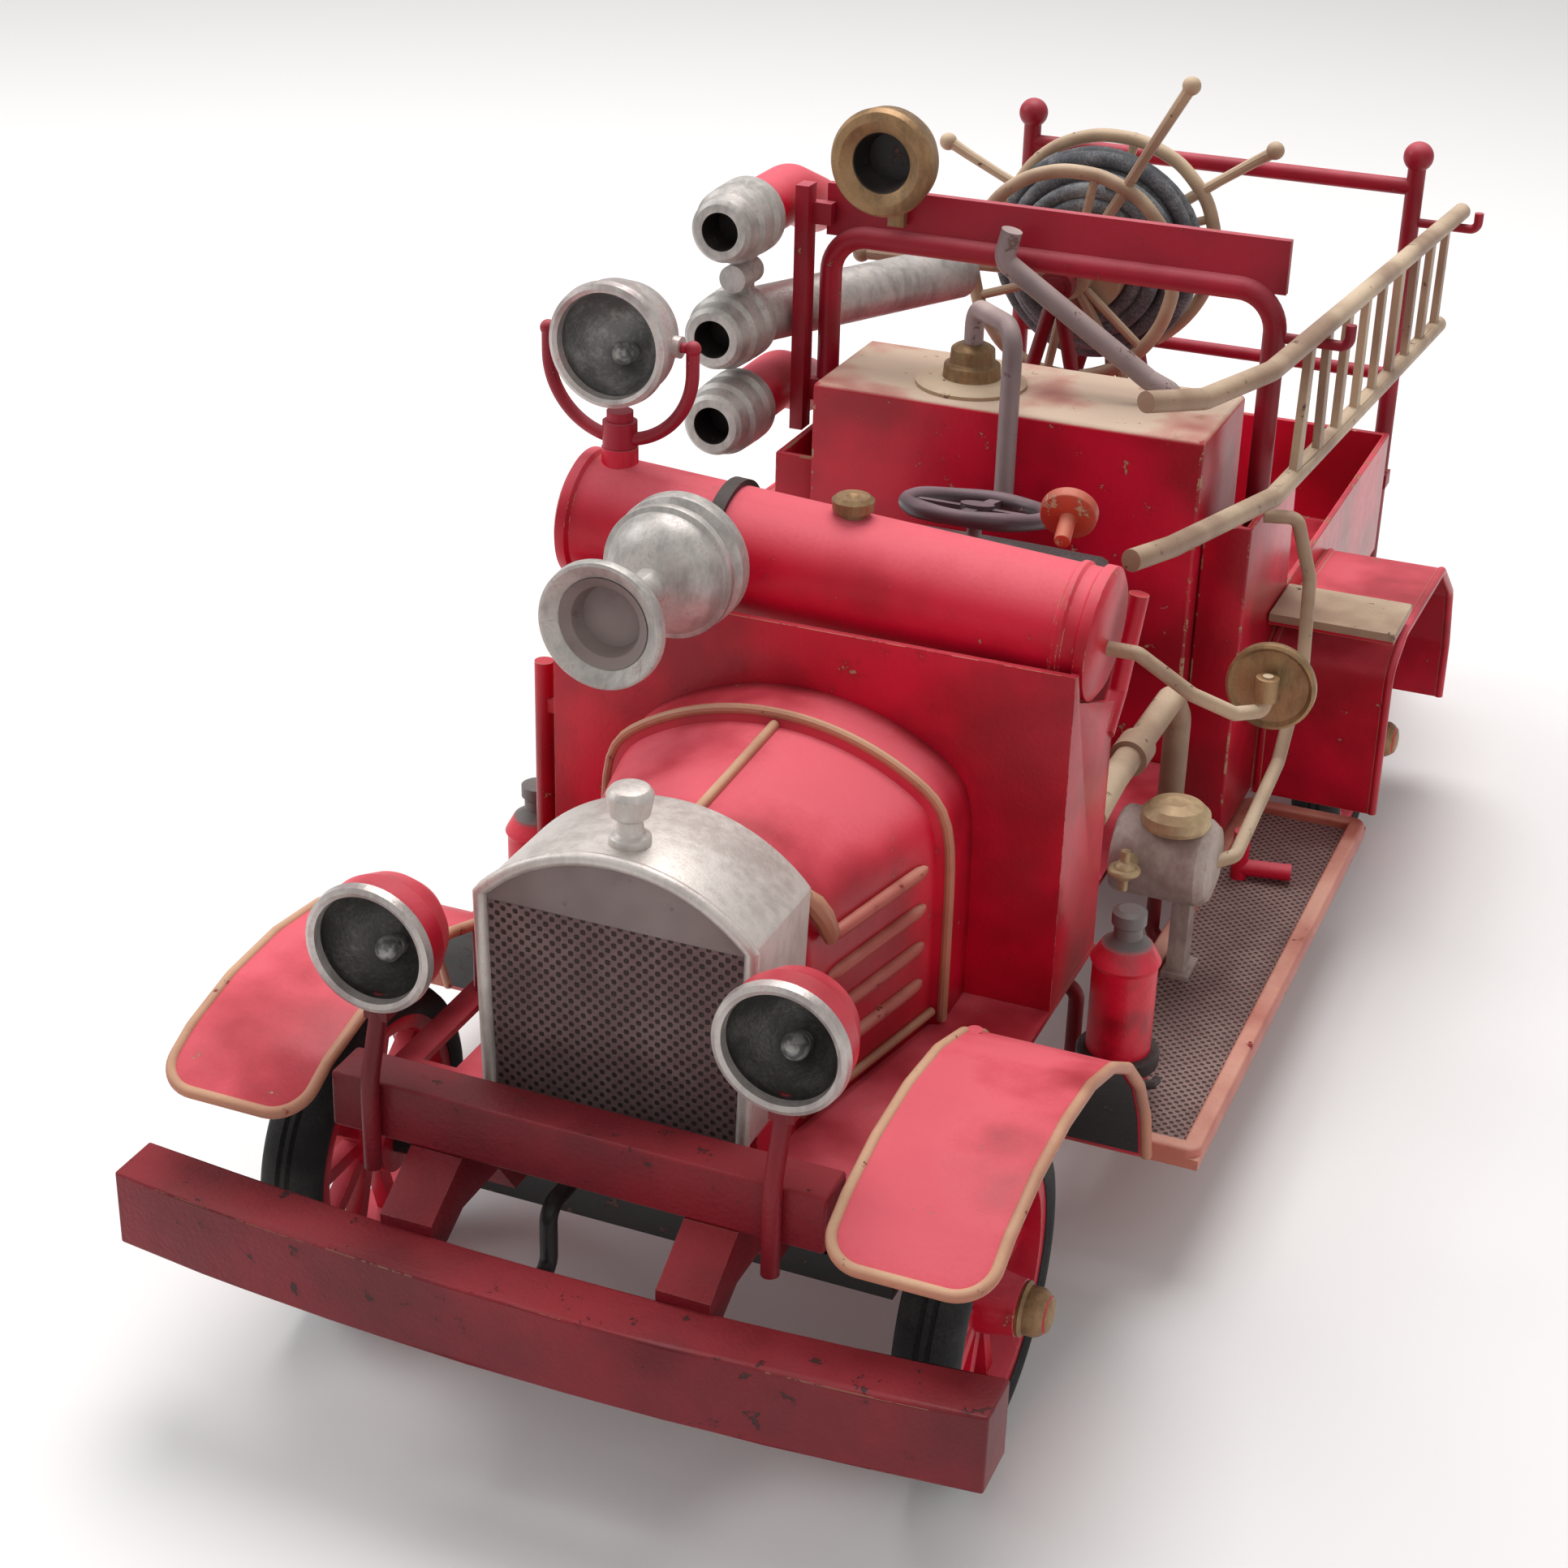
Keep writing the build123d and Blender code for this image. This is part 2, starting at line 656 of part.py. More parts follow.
def make_seat():
    with BuildPart() as seat:
        with Locations(spot(0, 192, (FLOOR_TOP + 96) / 2)):
            Box(72, 28, 96 - FLOOR_TOP)
        fillet(seat.edges().filter_by(Axis.Z), radius=2)
        with Locations(spot(0, 192, FLOOR_TOP + 20)):
            Box(69, 25, 44, mode=Mode.SUBTRACT)
    return seat


def make_cushion():
    with BuildPart() as cushion:
        with Locations(spot(0, 192, 103.2)):
            Box(73, 30, 14)
        fillet(cushion.edges(), radius=3)
    return cushion


# ---------------------------------------------------------------- rear body
def make_booster_box():
    depth = BOX_REAR - BOX_FRONT
    with BuildPart() as box:
        with Locations(spot(0, BOX_FRONT + depth / 2, (FLOOR_TOP + BOX_TOP) / 2)):
            Box(2 * BOX_HALF, depth, BOX_TOP - FLOOR_TOP)
        fillet(box.edges().group_by(Axis.Z)[-1], radius=1.2)
        with Locations(spot(0, BOX_FRONT + depth / 2, FLOOR_TOP + 30)):
            Box(2 * BOX_HALF - 3, depth - 3, 66, mode=Mode.SUBTRACT)
    return box


def make_filler():
    with BuildPart() as dome:
        turned(spot(-13, 247, 127.8), (0, 0, 1),
               [(0, 0), (0, 12.6), (0.8, 12.6), (1.2, 11), (1.8, 6.6), (5, 6.4), (5.4, 5.2), (8.6, 5),
                (9.2, 4.2), (9.8, 3), (9.8, 0)])
    return dome


def make_deck_pipes():
    with BuildPart() as pipes:
        rod([spot(-13, 247, 136.5), spot(-13, 247, 146), spot(2, 228.6, 148),
             spot(2, 228.6, 108)], 2.2, 5)
        rod([spot(-7, 251.5, 163), spot(-8.6, 251.5, 156), spot(27, 251.5, 133.4),
             spot(33, 251.5, 131), spot(33, 251.5, 127)], 2.4, 3)
    return pipes


def make_rear_body():
    with BuildPart() as body:
        with Locations(spot(0, 321, FLOOR_TOP - 0.75)):
            Box(110, 168, SHEET)
        with BuildSketch(Plane.YZ.offset(55)) as side:
            with BuildLine():
                Polyline((back(237), 31), (back(237), 108), (back(281), 108), (back(284), 78),
                         (back(405), 78), (back(405), 44), (back(268), 44), (back(268), 31),
                         close=True)
            make_face()
        extrude(to_extrude=side.sketch, amount=SHEET)
        with Locations(spot(51.2, 237.75, 69.5)):
            Box(10.6, SHEET, 77)
        mirror(about=Plane.YZ)
        with Locations(spot(0, 404.25, 63)):
            Box(112, SHEET, 30)
    return body


def make_roll_bar():
    foot = FLOOR_TOP
    with BuildPart() as bar:
        rod([spot(-BAR_HALF, BAR_Y, foot), spot(-BAR_HALF, BAR_Y, BAR_Z), spot(BAR_HALF, BAR_Y, BAR_Z),
             spot(BAR_HALF, BAR_Y, foot)], BAR_R, 9)
        with Locations(spot(0, BAR_Y + 1.2, 160.5)):
            Box(2 * BAR_HALF + 3, 2.2, 12)
        with Locations(spot(-57.3, 253.6, 138)):
            Box(3.2, 5, 58)
        with Locations(spot(-54.6, 256.6, 160), spot(-54.6, 256.6, 118)):
            Box(6, 3, 5)
        rod([spot(BAR_HALF, BAR_Y, 145.1), spot(69, BAR_Y, 145.1), spot(69, BAR_Y, 150)], 1.2, 2)
    return bar


def make_bell():
    with BuildPart() as bell:
        turned(spot(-36, 0, 176), (0, 1, 0),
               [(252, 0), (252, 5.6), (247, 6.4), (244.4, 6.8), (243, 9.4), (243.4, 11.4),
                (245, 12.2), (250, 11.6), (255, 9.6), (258, 6), (258.5, 0)])
        with Locations(spot(-36, 256.6, 164.6)):
            Box(4, 2.4, 11)
    return bell


# ---------------------------------------------------------------- hose reel
def reel_flange(distance, radius):
    """Ring with four spokes and a hub, square to the reel's axle."""
    corners = [math.radians(22.5 + 45 * step) for step in range(8)]
    turned(spot(REEL_X, distance, REEL_Z), (0, 1, 0),
           [(1.7 * math.sin(a), radius + 1.7 * math.cos(a)) for a in corners])
    for turn in range(6):
        angle = math.radians(20 + 60 * turn)
        reach = (math.cos(angle), math.sin(angle))
        ends = [spot(REEL_X + d * reach[0], distance, REEL_Z + d * reach[1])
                for d in (4, radius - 0.6)]
        rod(ends, 1.1)


def reel_handle(distance, start, end, degrees):
    """Bar with a ball end that stands out from a flange."""
    angle = math.radians(degrees)
    reach = (math.cos(angle), math.sin(angle))
    ends = [spot(REEL_X + d * reach[0], distance, REEL_Z + d * reach[1]) for d in (start, end)]
    rod(ends, 1.3)
    with Locations(ends[-1]):
        Sphere(2.3)


def make_reel():
    middle = (REEL_NEAR + REEL_FAR) / 2
    with BuildPart() as reel:
        drum = (REEL_FAR - REEL_NEAR) / 2 - 2
        bore = 2.5 + RUNNING_FIT
        turned(spot(REEL_X, middle, REEL_Z), (0, 1, 0),
               [(-drum - 6, bore), (-drum - 6, 5.5), (-drum, 5.5), (-drum, 12), (drum, 12),
                (drum, 5.5), (drum + 6, 5.5), (drum + 6, bore)])
        reel_flange(REEL_NEAR, 26)
        reel_flange(REEL_FAR, 28)
        for degrees in (62, 182, 302):
            reel_handle(REEL_NEAR, 5, 56, degrees)
        for degrees in (35, 155, 275):
            reel_handle(REEL_FAR, 5, 50, degrees)
    return reel


def make_hose_coil():
    with BuildPart() as coil:
        turned(spot(REEL_X, REEL_FAR, REEL_Z), (0, 1, 0),
               [(-25, 12), (-25, 21), (-22, 24), (-5, 26.4), (-2.4, 24), (-2.4, 12)])
    return coil


def make_reel_stand():
    with BuildPart() as stand:
        with Locations(spot(REEL_X, (REEL_NEAR + REEL_FAR) / 2, REEL_Z)):
            Cylinder(2.5, 60, rotation=(90, 0, 0))
        for distance in (REEL_NEAR - 11, REEL_FAR + 11):
            for lean in (-20, 20):
                rod([spot(REEL_X + lean, distance, FLOOR_TOP), spot(REEL_X, distance, REEL_Z)], 1.8)
            with Locations(spot(REEL_X, distance, REEL_Z)):
                Cylinder(4.2, 4, rotation=(90, 0, 0))
            with Locations(spot(REEL_X, distance, FLOOR_TOP + 0.8)):
                Box(54, 8, 1.6)
    return stand


# ---------------------------------------------------------------- fire-fighting gear
NOZZLES = ((-67.5, 228.0, 160.5), (-69.5, 229.0, 135.2), (-68.0, 226.0, 115.8))


def make_nozzles():
    with BuildPart() as nozzles:
        for x, distance, z in NOZZLES:
            turned(spot(x, distance, z), (0, 1, 0),
                   [(9, 0), (9, 4.2), (0, 4.4), (0, 6.2), (1, 7.2), (5, 7.6), (6, 8.6), (10.5, 8.8),
                    (11.5, 7.8), (13, 7.8), (14, 8.9), (17, 8.9), (18, 6.6), (20, 6.6), (20, 0)])
        with Locations(spot(-67.5, 241, 147.8)):
            Cylinder(3.2, 11, rotation=(90, 0, 0))
        with Locations(spot(-67.5, 243.5, 148)):
            Box(3, 3, 10)
    return nozzles


def make_long_tube():
    start, end = Vector(*spot(-69.3, 249.5, 135.2)), Vector(*spot(-39.5, 313, 134))
    axis = (end - start).normalized()
    with BuildPart() as tube:
        rod([start, end], 6.6)
        rod([start + axis * 4, end + axis * 2], 5.4)
    return tube


def make_hose_ends():
    with BuildPart() as hoses:
        for x, distance, z in (NOZZLES[0], NOZZLES[2]):
            rod([spot(x, distance + 20, z), spot(x, distance + 40, z), spot(x - 0.5, distance + 58, z - 7)],
                6.8, 12)
    return hoses


def make_ladder():
    upper = [spot(47, 172, 155), spot(54, 190, 151.6), spot(62.5, 212, 152), spot(66, 417, 138)]
    lower = [spot(51, 155, 129), spot(55, 172, 126.6), spot(62, 229, 119), spot(66, 402, 111)]
    with BuildPart() as ladder:
        rod(upper, LADDER_R, 8)
        rod(lower, LADDER_R, 8)
        for rung in range(RUNGS):
            share = rung / (RUNGS - 1)
            distance = 246 + 150 * share
            x = 62.8 + 2.9 * share
            top = 149.7 - 10.3 * share
            low = 118.2 - 6.9 * share
            with Locations(spot(x, distance, (top + low) / 2)):
                Box(1.8, 4.2, top - low)
    return ladder


def make_pump():
    with BuildPart() as pump:
        turned(spot(0, 182, 54), (1, 0, 0),
               [(47, 0), (47, 8.8), (48, 9.4), (65.5, 9.4), (67.5, 8), (68.2, 5), (68.2, 0)])
        with Locations(spot(62, 182, 37.4)):
            Box(4, 5, 17.2)
        with Locations(spot(62.4, 182, 28)):
            Box(6, 9, 1.6)
    return pump


def make_pump_fittings():
    with BuildPart() as fittings:
        turned(spot(59, 180, 62.6), (0, 0, 1),
               [(0, 0), (0, 7), (1, 7.4), (3, 7.2), (4.6, 5.6), (5.4, 2.6), (5.4, 0)])
        rod([spot(52, 173.2, 56), spot(52, 168, 56)], 1.6)
        with Locations(spot(52, 168, 56)):
            Sphere(2.4)
            Cylinder(1.0, 9)
            Torus(2.6, 0.8)
    return fittings


def make_pump_pipes():
    with BuildPart() as pipes:
        rod([spot(50, 146, 78), spot(50, 160, 80), spot(50, 204, 80), spot(50, 212, 72),
             spot(50, 212, FLOOR_TOP - 20)], 2.9, 5)
        with Locations(spot(50, 174, 80)):
            Cylinder(4.0, 7, rotation=(90, 0, 0))
        rod([spot(59, 236, 112), spot(66, 238, 112), spot(70, 239, 98), spot(72, 232, 80), spot(72, 216, 64),
             spot(71, 186, 55), spot(67, 183, 54)], 1.5, 2.5)
    return pipes


def make_extinguishers():
    with BuildPart() as bottles:
        turned(spot(63.5, 129, BOARD_TOP - 0.8), (0, 0, 1),
               [(0, 0), (0, 5.6), (0.8, 6.4), (8, 6.4), (8, 7.2), (11, 7.2), (11, 6.4), (30, 6.4),
                (31, 6.9), (32, 6.4), (34.5, 5), (36, 2.8), (38.4, 2.8), (39, 3.4), (41.4, 3.4),
                (42, 2.2), (42, 0)])
        mirror(about=Plane.YZ)
    return bottles


def make_handrail():
    with BuildPart() as rail:
        for side in (-1, 1):
            rod([spot(side * POST_HALF, POST_Y, BOARD_TOP), spot(side * POST_HALF, POST_Y, 151)], 2.4)
            with Locations(spot(side * POST_HALF, POST_Y, 152)):
                Sphere(4.0)
            with Locations(spot(side * POST_HALF, POST_Y, 62)):
                Box(5.6, 6, 4)
            rod([spot(side * POST_HALF, 404, 62), spot(side * POST_HALF, POST_Y, 62)], 1.6)
        for height, radius in ((143.8, 2.2), (58, 1.8), (92, 1.8)):
            rod([spot(-POST_HALF, POST_Y, height), spot(POST_HALF, POST_Y, height)], radius)
        rod([spot(POST_HALF, POST_Y, 134.5), spot(71.3, POST_Y, 134.5), spot(71.3, POST_Y, 139)],
            1.2, 2)
    return rail


def make_tail_lamp():
    with BuildPart() as lamp:
        turned(spot(44, POST_Y, 51), (0, 1, 0),
               [(-6, 0), (-6, 4.2), (-5, 5), (3, 5), (4, 5.6), (6, 5.6), (7, 4), (7, 0)])
        with Locations(spot(44, POST_Y, 56)):
            Cylinder(1.6, 3.4)
    return lamp


def make_tailboard():
    with BuildPart() as board:
        with Locations(spot(0, 409, BOARD_TOP - 1.2)):
            Box(122, 26, 2.4)
        fillet(board.edges().filter_by(Axis.Z), radius=5)
        for side in (-1, 1):
            with Locations(spot(side * (RAIL_X + RAIL_WIDTH / 2), 396.5, 33)):
                Box(6, 3, 12)
            with Locations(spot(side * (RAIL_X + RAIL_WIDTH / 2), 402, 29)):
                Box(6, 10, 2.2)
    return board


def main():
    os.makedirs("parts", exist_ok=True)
    save(make_chassis(), "chassis_frame")
    save(make_bumper(), "front_bumper")
    save(make_beam(), "front_cross_beam")
    save(make_front_axle(), "front_axle")
    save(make_rear_axle(), "rear_axle")
    save(make_crank(), "starting_crank")
    for end, (x, distance) in (("front", FRONT_WHEEL), ("rear", REAR_WHEEL)):
        for side, sign in (("left", 1), ("right", -1)):
            save(make_wheel(sign * x, distance), f"wheel_{end}_{side}")
            save(make_tyre(sign * x, distance), f"tyre_{end}_{side}")
    save(make_front_fenders(), "front_fenders")
    save(make_fender_beads(), "front_fender_beads")
    save(make_running_boards(), "running_boards")
    save(make_rear_fenders(), "rear_fenders")
    save(make_radiator_shell(), "radiator_shell")
    save(make_grille(), "radiator_grille")
    save(make_radiator_cap(), "radiator_cap")
    save(make_hood(), "hood")
    save(make_hood_trim(), "hood_trim")
    save(make_floor_pan(), "floor_pan")
    save(make_dash(), "dash_panel")
    save(make_tank(), "cross_tank")
    save(make_tank_cap(), "cross_tank_cap")
    save(make_siren(), "siren")
    save(make_headlamp_bowls(), "headlamp_bowls")
    save(make_headlamp_rims(), "headlamp_rims")
    save(make_headlamp_posts(), "headlamp_posts")
    save(make_spot_yoke(), "spot_yoke")
    save(make_spot_lamp(), "spot_lamp")
    save(make_steering_column(), "steering_column")
    save(make_steering_wheel(), "steering_wheel")
    save(make_knob(), "dash_knob")
    save(make_mirror_arm(), "mirror_arm")
    save(make_mirror(), "mirror")
    save(make_seat(), "seat_box")
    save(make_cushion(), "seat_cushion")
    save(make_booster_box(), "booster_box")
    save(make_filler(), "booster_filler")
    save(make_deck_pipes(), "deck_pipes")
    save(make_rear_body(), "rear_body")
    save(make_roll_bar(), "roll_bar")
    save(make_bell(), "bell")
    save(make_reel(), "hose_reel")
    save(make_hose_coil(), "hose_coil")
    save(make_reel_stand(), "reel_stand")
    save(make_nozzles(), "nozzles")
    save(make_long_tube(), "long_tube")
    save(make_hose_ends(), "hose_ends")
    save(make_ladder(), "ladder")
    save(make_pump(), "pump")
    save(make_pump_fittings(), "pump_fittings")
    save(make_pump_pipes(), "pump_pipes")
    save(make_extinguishers(), "extinguishers")
    save(make_handrail(), "rear_handrail")
    save(make_tail_lamp(), "tail_lamp")
    save(make_tailboard(), "tailboard")


if __name__ == "__main__":
    main()
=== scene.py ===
"""Finishes, soft goods and fine detail for a painted tin-plate toy fire engine.

Lengths in the tables are millimetres.  The panel's sizes and the places of the lights are
metres.  Positions along the vehicle are distances behind the bumper's front face, and
heights are above the ground, as in the maker's drawing.
"""
import json
import math

import bmesh
import bpy
from bpy.props import FloatProperty, FloatVectorProperty, IntProperty, PointerProperty
from mathutils import Matrix, Vector, noise

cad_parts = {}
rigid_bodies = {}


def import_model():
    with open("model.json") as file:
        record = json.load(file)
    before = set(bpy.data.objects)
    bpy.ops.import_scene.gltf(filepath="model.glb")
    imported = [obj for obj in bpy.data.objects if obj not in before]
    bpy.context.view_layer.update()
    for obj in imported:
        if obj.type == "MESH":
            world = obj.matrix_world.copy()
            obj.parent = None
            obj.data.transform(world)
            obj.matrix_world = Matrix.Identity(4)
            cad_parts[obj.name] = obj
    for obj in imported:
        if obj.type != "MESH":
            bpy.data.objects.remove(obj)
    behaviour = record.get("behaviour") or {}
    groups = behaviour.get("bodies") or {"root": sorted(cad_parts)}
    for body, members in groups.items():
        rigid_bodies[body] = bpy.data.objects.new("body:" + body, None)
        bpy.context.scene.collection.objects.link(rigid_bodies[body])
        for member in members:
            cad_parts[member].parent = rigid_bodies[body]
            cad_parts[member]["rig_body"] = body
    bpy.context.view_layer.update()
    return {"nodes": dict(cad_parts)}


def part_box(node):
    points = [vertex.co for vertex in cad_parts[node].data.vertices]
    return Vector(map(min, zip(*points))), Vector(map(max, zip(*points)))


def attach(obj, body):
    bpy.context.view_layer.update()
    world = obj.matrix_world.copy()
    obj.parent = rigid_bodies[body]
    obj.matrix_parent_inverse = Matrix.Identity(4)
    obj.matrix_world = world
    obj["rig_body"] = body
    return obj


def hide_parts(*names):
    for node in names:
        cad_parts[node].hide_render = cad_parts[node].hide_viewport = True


bl_info = {
    "name": "Tin Fire Engine Finishes",
    "version": (1, 0, 0),
    "blender": (4, 5, 0),
    "location": "View3D > Sidebar > Fire Engine",
    "description": "Builds the finishes and fine detail of a toy fire engine",
    "category": "Object",
}

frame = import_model()
NODES = frame["nodes"]
MM = 0.001
BUMPER_LOW, BUMPER_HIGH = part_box("front_bumper")
BUMPER_BOW = 5.0
MIDDLE_X = (BUMPER_LOW.x + BUMPER_HIGH.x) / 2
FRONT_Y = BUMPER_LOW.y + BUMPER_BOW * MM
MERGE_METRES = 2e-6
FLAT_DEGREES = 1.0
CORNER_DEGREES = 32
ROUNDED = {"offset_type": "OFFSET", "segments": 2, "profile": 0.6, "affect": "EDGES",
           "clamp_overlap": True}
SIDE_STEPS = 8
TOP_STEPS = 16
RIPPLE = 0.12
WOBBLE_SEED = 7
AXLE_HEIGHT = 30


def at(x, distance, z):
    """Point in the shared frame from drawing millimetres."""
    return Vector((MIDDLE_X + x * MM, FRONT_Y + distance * MM, z * MM))


# ------------------------------------------------------------------------- shader maths
class Tap:
    """A number that varies over a surface; sums and products add Math nodes."""

    def __init__(self, recipe, socket):
        self.recipe = recipe
        self.socket = socket

    def _math(self, operation, first, second=0.0):
        return self.recipe.node("ShaderNodeMath", {"operation": operation},
                                {0: first, 1: second})

    def __add__(self, other):
        return self._math("ADD", self, other)

    def __radd__(self, other):
        return self._math("ADD", other, self)

    def __sub__(self, other):
        return self._math("SUBTRACT", self, other)

    def __rsub__(self, other):
        return self._math("SUBTRACT", other, self)

    def __mul__(self, other):
        return self._math("MULTIPLY", self, other)

    def __rmul__(self, other):
        return self._math("MULTIPLY", other, self)

    def sine(self):
        return self._math("SINE", self)

    def between(self, low, high):
        """0 below low, 1 above high, and a smooth rise from one to the other."""
        return self.recipe.node("ShaderNodeMapRange", {"interpolation_type": "SMOOTHSTEP"},
                                {"Value": self, "From Min": low, "From Max": high})


class Recipe:
    """One material and the nodes that make its finish."""

    def __init__(self, name, constants=None):
        self.material = bpy.data.materials.new(name)
        self.material.use_nodes = True
        self.tree = self.material.node_tree
        self.shader = self.tree.nodes["Principled BSDF"]
        for socket, value in (constants or {}).items():
            self.shader.inputs[socket].default_value = value

    def node(self, kind, settings=None, inputs=None, output=0):
        """Adds one node: its settings first, then values or links for its sockets."""
        made = self.tree.nodes.new(kind)
        for setting, value in (settings or {}).items():
            setattr(made, setting, value)
        for socket, value in (inputs or {}).items():
            self.feed(made.inputs[socket], value)
        return Tap(self, made.outputs[output])

    def feed(self, socket, value):
        if isinstance(value, Tap):
            self.tree.links.new(value.socket, socket)
        elif socket.type == "RGBA" and len(value) == 3:
            socket.default_value = (*value, 1.0)
        else:
            socket.default_value = value

    def place(self, stretch=(1.0, 1.0, 1.0)):
        """The piece's own coordinates, stretched along each axis."""
        own = self.node("ShaderNodeTexCoord", output="Object")
        return self.node("ShaderNodeVectorMath", {"operation": "MULTIPLY"},
                         {0: own, 1: stretch})

    def along(self, axis):
        own = self.node("ShaderNodeTexCoord", output="Object")
        return self.node("ShaderNodeSeparateXYZ", inputs={0: own}, output=axis)

    def facing(self, axis):
        normal = self.node("ShaderNodeNewGeometry", output="Normal")
        return self.node("ShaderNodeSeparateXYZ", inputs={0: normal}, output=axis)

    def noise(self, size, detail=4.0, roughness=0.6, stretch=(1.0, 1.0, 1.0)):
        """Cloudy pattern whose patches are about size millimetres across."""
        return self.node("ShaderNodeTexNoise", None,
                         {"Vector": self.place(stretch), "Scale": 1 / (size * MM),
                          "Detail": detail, "Roughness": roughness})

    def mix(self, first, second, share):
        return self.node("ShaderNodeMix", {"data_type": "RGBA"},
                         {0: share, 6: first, 7: second}, output=2)

    def finish(self, colour, roughness, height=None, relief=0.1, metallic=None, coat=None):
        """Links the colour, roughness and relief (millimetres) to the shader."""
        self.feed(self.shader.inputs["Base Color"], colour)
        self.feed(self.shader.inputs["Roughness"], roughness)
        if metallic is not None:
            self.feed(self.shader.inputs["Metallic"], metallic)
        if coat is not None:
            self.feed(self.shader.inputs["Coat Weight"], coat)
        if height is not None:
            bump = self.node("ShaderNodeBump", None,
                             {"Strength": 1.0, "Distance": relief * MM, "Height": height})
            self.feed(self.shader.inputs["Normal"], bump)
        return self.material


# ----------------------------------------------------------------------------- settings
def colour_setting(label, words, value):
    return FloatVectorProperty(name=label, description=words, subtype="COLOR", size=3,
                               min=0.0, max=1.0, default=value)


class EnginePaints(bpy.types.PropertyGroup):
    """Colours of the paints and metals."""

    red: colour_setting("Red", "Body paint where it is clean", (0.62, 0.004, 0.030))
    deep_red: colour_setting("Deep red", "Body paint where it is soiled", (0.30, 0.003, 0.012))
    maroon: colour_setting("Maroon", "Paint of the bumper and frame", (0.21, 0.004, 0.012))
    # Laid on faces that point up, this colour is partly dust and partly painted top light.
    dust: colour_setting("Dust", "Dusty bloom on red surfaces that face up", (0.70, 0.115, 0.15))
    pale_dust: colour_setting("Pale dust", "Dust on the pump box", (0.56, 0.43, 0.33))
    cream: colour_setting("Cream", "Worn lining and beads", (0.50, 0.205, 0.125))
    silver: colour_setting("Silver", "Dull silver paint", (0.56, 0.53, 0.50))
    brass: colour_setting("Brass", "Aged brass", (0.38, 0.23, 0.11))
    grey: colour_setting("Grey", "Grey pipes and steering wheel", (0.30, 0.22, 0.22))
    # Share of the lighter film on upward faces, which is partly dust and partly painted top
    # light.
    dust_and_top_light_share: FloatProperty(name="Dusting", description="How much dust lies on top faces",
                           subtype="FACTOR", min=0.0, max=1.0, default=0.75)


class EngineLamps(bpy.types.PropertyGroup):
    """Sizes in the headlamps and the searchlight."""

    bulb: FloatProperty(name="Bulb", description="Radius of each bulb", unit="LENGTH",
                        default=0.0024, min=0.0005, max=0.01)
    reflector: colour_setting("Reflector", "Dull reflector", (0.10, 0.095, 0.09))


class EngineHose(bpy.types.PropertyGroup):
    """Sizes of the wound hose."""

    thickness: FloatProperty(name="Hose", description="Radius of the hose", unit="LENGTH",
                             default=0.0021, min=0.0005, max=0.01)
    rubber: colour_setting("Hose colour", "Dusty black of the hose", (0.055, 0.058, 0.065))


class EngineStage(bpy.types.PropertyGroup):
    """The floor, lights and camera."""

    floor: colour_setting("Floor", "Plain pale floor", (0.86, 0.86, 0.86))
    lens: FloatProperty(name="Lens", description="Focal length of the camera in millimetres",
                        default=63.22, min=10.0, max=300.0)
    key: FloatProperty(name="Key light", description="Power of the overhead light",
                       unit="POWER", default=13.0, min=0.0)


# -------------------------------------------------------------------------------- paints
def painted(name, lively, deep, dust, dust_and_top_light_share, gloss, chips=0.0, bare=(0.10, 0.05, 0.03),
            grain=0.10):
    """Old brushed paint: cloudy colour, soiling, a lighter film on what faces up that is partly
    dust and partly painted top light, and chips.
    """
    paint = Recipe(name, {"Specular IOR Level": 0.30, "Coat Roughness": 0.30})
    cloud = paint.noise(34, 3, 0.55)
    fleck = paint.noise(5, 5, 0.68)
    speck = paint.noise(0.9, 3, 0.6)
    colour = paint.mix(deep, lively, cloud.between(0.32, 0.66))
    soiled = tuple(part * 0.35 for part in deep)
    colour = paint.mix(colour, soiled, fleck.between(0.56, 0.80) * 0.5)
    patches = 1.35 * cloud.between(0.30, 0.66) + 0.22
    # Lighter film on upward faces: partly dust, partly painted top light.
    dust_and_top_light = paint.facing("Z").between(0.25, 1.0) * patches * dust_and_top_light_share
    dust_and_top_light = dust_and_top_light * (0.75 + 0.5 * speck)
    colour = paint.mix(colour, dust, dust_and_top_light)
    rough = gloss + dust_and_top_light * 0.35 + fleck * 0.16
    height = speck * 0.5 + fleck * 0.5
    if chips:
        edge = fleck + speck * 0.30
        lost = edge.between(0.86 - chips, 0.90 - chips)
        colour = paint.mix(colour, bare, lost)
        rough = rough + lost * 0.25
        height = height - lost * 0.8
    return paint.finish(colour, rough, height, grain, coat=0.16 - dust_and_top_light * 0.14)


def worn_metal(name, clean, dull, stain, shine, gloss, stains=0.5):
    """Silver paint or old metal: streaked, dulled and stained in patches."""
    metal = Recipe(name, {"Specular IOR Level": 0.5})
    cloud = metal.noise(14, 4, 0.6)
    streak = metal.noise(2.2, 4, 0.7, (1.0, 1.0, 0.4))
    speck = metal.noise(0.6, 3, 0.6)
    colour = metal.mix(dull, clean, (cloud * 0.6 + streak * 0.4).between(0.36, 0.62))
    lost = (cloud * 0.5 + streak * 0.3 + speck * 0.2).between(0.52, 0.68) * stains
    colour = metal.mix(colour, stain, lost)
    rough = gloss + streak * 0.18 + lost * 0.3
    return metal.finish(colour, rough, speck * 0.4 + streak * 0.6, 0.10,
                        metallic=shine - lost * 0.5)


